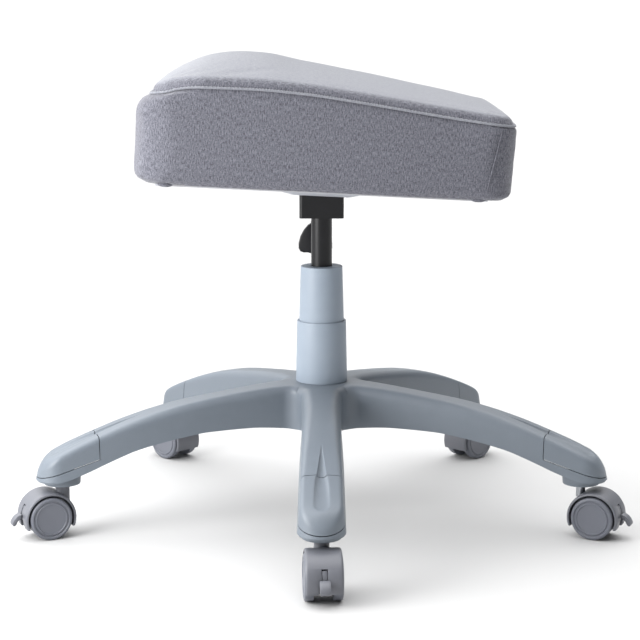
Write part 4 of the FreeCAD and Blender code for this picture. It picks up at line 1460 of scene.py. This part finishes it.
        # Painted shade: the upright seams and corner tucks take the side band's darker tones in
        # full.
        painted_shade = seams.verts.layers.float.new("painted_shade")
        for vert in seams.verts:
            vert[painted_shade] = 1.0
        self.shop.finish(
            moved(seams, self.place()), "end_seams", "seat", Slot.FABRIC
        )


@dataclass
class Underside:
    """Moulded panel under the board with a tapered collar round the bracket."""

    shop: Workshop
    seat_plane: Matrix
    half_length: float = 188.0
    half_depth: float = 152.0
    panel: float = 3.0
    collar_top: tuple[float, float] = (95.0, 77.0)
    collar_foot: tuple[float, float] = (33.0, 52.0)
    collar_drop: float = 17.5
    wall: float = 2.5

    def frustum(self, inset: float, low: float, high: float) -> bmesh.types.BMesh:
        """Tapered box of the collar, set in by an amount."""
        bm = block((-1.0, -1.0, low), (1.0, 1.0, high))
        for vert in bm.verts:
            foot = vert.co.z < (low + high) / 2 * MM
            half = self.collar_foot if foot else self.collar_top
            vert.co.x = math.copysign((half[0] - inset) * MM, vert.co.x)
            vert.co.y = math.copysign((half[1] - inset) * MM, vert.co.y)
        return bm

    def build(self) -> None:
        """Make the panel with its collar, window and lever slot."""
        slab = block(
            (-self.half_length, -self.half_depth, -self.panel),
            (self.half_length, self.half_depth, 0.0), 0.8,
        )
        collar = self.frustum(0.0, -self.collar_drop, -1.0)
        bmesh.ops.bevel(
            collar, geom=list(collar.edges), offset=4.0 * MM, segments=3, affect="EDGES",
            profile=0.5, material=-1,
        )
        piece = self.shop.finish(
            moved(slab, self.seat_plane), "under_panel", "seat", Slot.PANEL, ["under_cover"]
        )
        self.shop.cut(piece, [moved(block((-90.0, -72.0, -6.0), (90.0, 72.0, 3.0)),
                                    self.seat_plane)])
        ring = self.shop.finish(
            moved(collar, self.seat_plane), "under_collar", "seat", Slot.PANEL
        )
        self.shop.cut(ring, [
            moved(self.frustum(self.wall, self.wall - self.collar_drop, 1.0), self.seat_plane),
            moved(block((-27.4, -45.9, -22.0), (27.4, 45.9, -6.0)), self.seat_plane),
            moved(block((-17.0, 42.0, -22.0), (1.0, 88.0, -4.0)), self.seat_plane),
        ])


@dataclass
class Paddle:
    """Hanging grip of the height lever: two rounded lobes on a sleeve."""

    shop: Workshop
    middle: float = -8.0
    reach: float = 150.0
    half_thickness: float = 3.5
    lobe: tuple = (
        (-4.5, 343.0), (-9.5, 340.0), (-15.0, 333.5), (-19.5, 325.0), (-21.9, 316.0),
        (-21.9, 309.5), (-19.5, 305.2), (-15.0, 303.6), (-10.0, 303.8), (-5.0, 302.4),
        (0.0, 302.0),
    )

    def build(self) -> None:
        """Make the grip."""
        left = [(self.middle + x, z) for x, z in self.lobe]
        right = [(self.middle - x, z) for x, z in self.lobe[:-1]]
        grip = plate(
            left + right[::-1], self.reach - self.half_thickness,
            self.reach + self.half_thickness, 2.0,
        )
        sleeve = moved(
            turned(rounded([(3.5, 326.0), (6.0, 326.0), (6.0, 345.0), (3.5, 345.0)], 0.7), 48),
            Matrix.Translation((self.middle * MM, self.reach * MM, 0.0)),
        )
        self.shop.finish(
            join(grip, sleeve), "lever_grip", "lever", Slot.BLACK_PLASTIC, ["lever_paddle"]
        )


# ------------------------------------------------------------------ studio


@dataclass
class Studio:
    """Pale floor, soft light from above and the left, and the camera."""

    camera_place: tuple[float, float, float] = (0.0, -2.266, 0.648)
    camera_pitch: float = 10.17
    lens: float = 105.76
    shift: float = -0.0025
    lobes: tuple = (
        ((-0.16, 0.26, 0.95), 0.3, 3.4),
        ((-0.95, -0.2, 0.25), 0.5, 0.7),
    )
    low_light: float = 0.0
    horizon_light: float = 0.9
    horizon_height: float = 0.24
    panel_place: tuple[float, float, float] = (-0.9, -0.6, 0.52)
    panel_size: float = 0.6
    panel_watts: float = 12.5

    def floor(self) -> None:
        """Lay a wide matt white floor."""
        bm = bmesh.new()
        bmesh.ops.create_grid(bm, x_segments=1, y_segments=1, size=400.0)
        mesh = bpy.data.meshes.new("floor")
        bm.to_mesh(mesh)
        bm.free()
        floor = bpy.data.objects.new("floor", mesh)
        bpy.context.scene.collection.objects.link(floor)
        material = bpy.data.materials.new("matt_white_floor")
        material.use_nodes = True
        shader = material.node_tree.nodes["Principled BSDF"]
        shader.inputs["Base Color"].default_value = linear("#c6c6c6")
        shader.inputs["Roughness"].default_value = 0.9
        shader.inputs["Specular IOR Level"].default_value = 0.1
        mesh.materials.append(material)

    def light(self) -> None:
        """Light the room by a soft sky that is brightest above and to the left."""
        world = bpy.data.worlds.new("studio")
        world.use_nodes = True
        tree = world.node_tree
        tree.nodes.clear()
        way = add_node(tree, "ShaderNodeTexCoord").outputs["Generated"]
        total = None
        for aim, begins, level in self.lobes:
            facing = add_node(
                tree, "ShaderNodeVectorMath", {1: tuple(Vector(aim).normalized())}, {0: way},
                operation="DOT_PRODUCT",
            )
            lobe = add_node(
                tree,
                "ShaderNodeMapRange",
                {"From Min": begins, "From Max": 1.0, "To Min": self.low_light, "To Max": level},
                {"Value": facing.outputs["Value"]},
                interpolation_type="SMOOTHSTEP",
            )
            total = lobe if total is None else add_node(
                tree, "ShaderNodeMath", links={0: total.outputs[0], 1: lobe.outputs[0]},
                operation="ADD",
            )
        height = add_node(tree, "ShaderNodeSeparateXYZ", links={"Vector": way}).outputs["Z"]
        horizon = add_node(
            tree,
            "ShaderNodeMapRange",
            {
                "From Min": self.horizon_height,
                "From Max": 0.0,
                "To Min": 0.0,
                "To Max": self.horizon_light,
            },
            {"Value": height},
            interpolation_type="SMOOTHSTEP",
        )
        total = add_node(
            tree, "ShaderNodeMath", links={0: total.outputs[0], 1: horizon.outputs["Result"]},
            operation="ADD",
        )
        glow = add_node(
            tree,
            "ShaderNodeBackground",
            {"Color": (1.0, 1.0, 1.0, 1.0)},
            {"Strength": total.outputs[0]},
        )
        add_node(tree, "ShaderNodeOutputWorld", links={"Surface": glow.outputs["Background"]})
        panel = bpy.data.lights.new("side_panel", "AREA")
        panel.size = self.panel_size
        panel.energy = self.panel_watts
        lamp = bpy.data.objects.new("side_panel", panel)
        lamp.location = self.panel_place
        aim = Vector((0.0, 0.0, 0.4)) - Vector(self.panel_place)
        lamp.rotation_euler = aim.to_track_quat("-Z", "Y").to_euler()
        bpy.context.scene.collection.objects.link(lamp)
        bpy.context.scene.world = world
        bpy.context.scene.view_settings.view_transform = "Standard"

    def camera(self) -> None:
        """Set the camera at its height, pitch and lens."""
        data = bpy.data.cameras.new("camera")
        data.lens = self.lens
        data.sensor_width = 36.0
        data.shift_x = self.shift
        camera = bpy.data.objects.new("camera", data)
        camera.location = self.camera_place
        camera.rotation_euler = (math.radians(90.0 - self.camera_pitch), 0.0, 0.0)
        bpy.context.scene.collection.objects.link(camera)
        bpy.context.scene.camera = camera

    def build(self) -> None:
        """Set up floor, light and camera."""
        self.floor()
        self.light()
        self.camera()


NODE_SLOTS = {
    Slot.BASE: ("column_tube",),
    Slot.BUSH: ("guide_bush",),
    Slot.RUBBER: ("bump_stop",),
    Slot.PLYWOOD: ("seat_board",),
    Slot.BLACK_STEEL: ("gas_cylinder", "seat_bracket", "lever_rod"),
    Slot.BLACK_PLASTIC: ("rod_gland", "release_button"),
    Slot.BRIGHT_STEEL: (
        "piston_rod", "rod_clip", "thrust_bearing", "t_nuts", "seat_screws", "lever_pin",
    ),
}


def main() -> None:
    """Build every sub-assembly in order."""
    logging.basicConfig(level=logging.INFO, format="%(name)s: %(message)s")
    shop = Workshop(Finishes())
    for slot, nodes in NODE_SLOTS.items():
        for node in nodes:
            shop.dress_node(node, slot)
    for index in range(1, ARM_COUNT + 1):
        shop.dress_node(f"castor_stem_{index}", Slot.BRIGHT_STEEL)
        shop.dress_node(f"axle_{index}", Slot.BRIGHT_STEEL)
    StarBase(shop).build()
    Column(shop).build()
    for index, turn in enumerate((-86.0, -25.0, 44.0, 136.0, 205.0), start=1):
        Castor(shop, index, turn).build()
    cushion = WedgeCushion(shop)
    cushion.build()
    Underside(shop, cushion.place()).build()
    Paddle(shop).build()
    Studio().build()
    log.info("built %d pieces", len(shop.made))


if __name__ == "__main__":
    main()
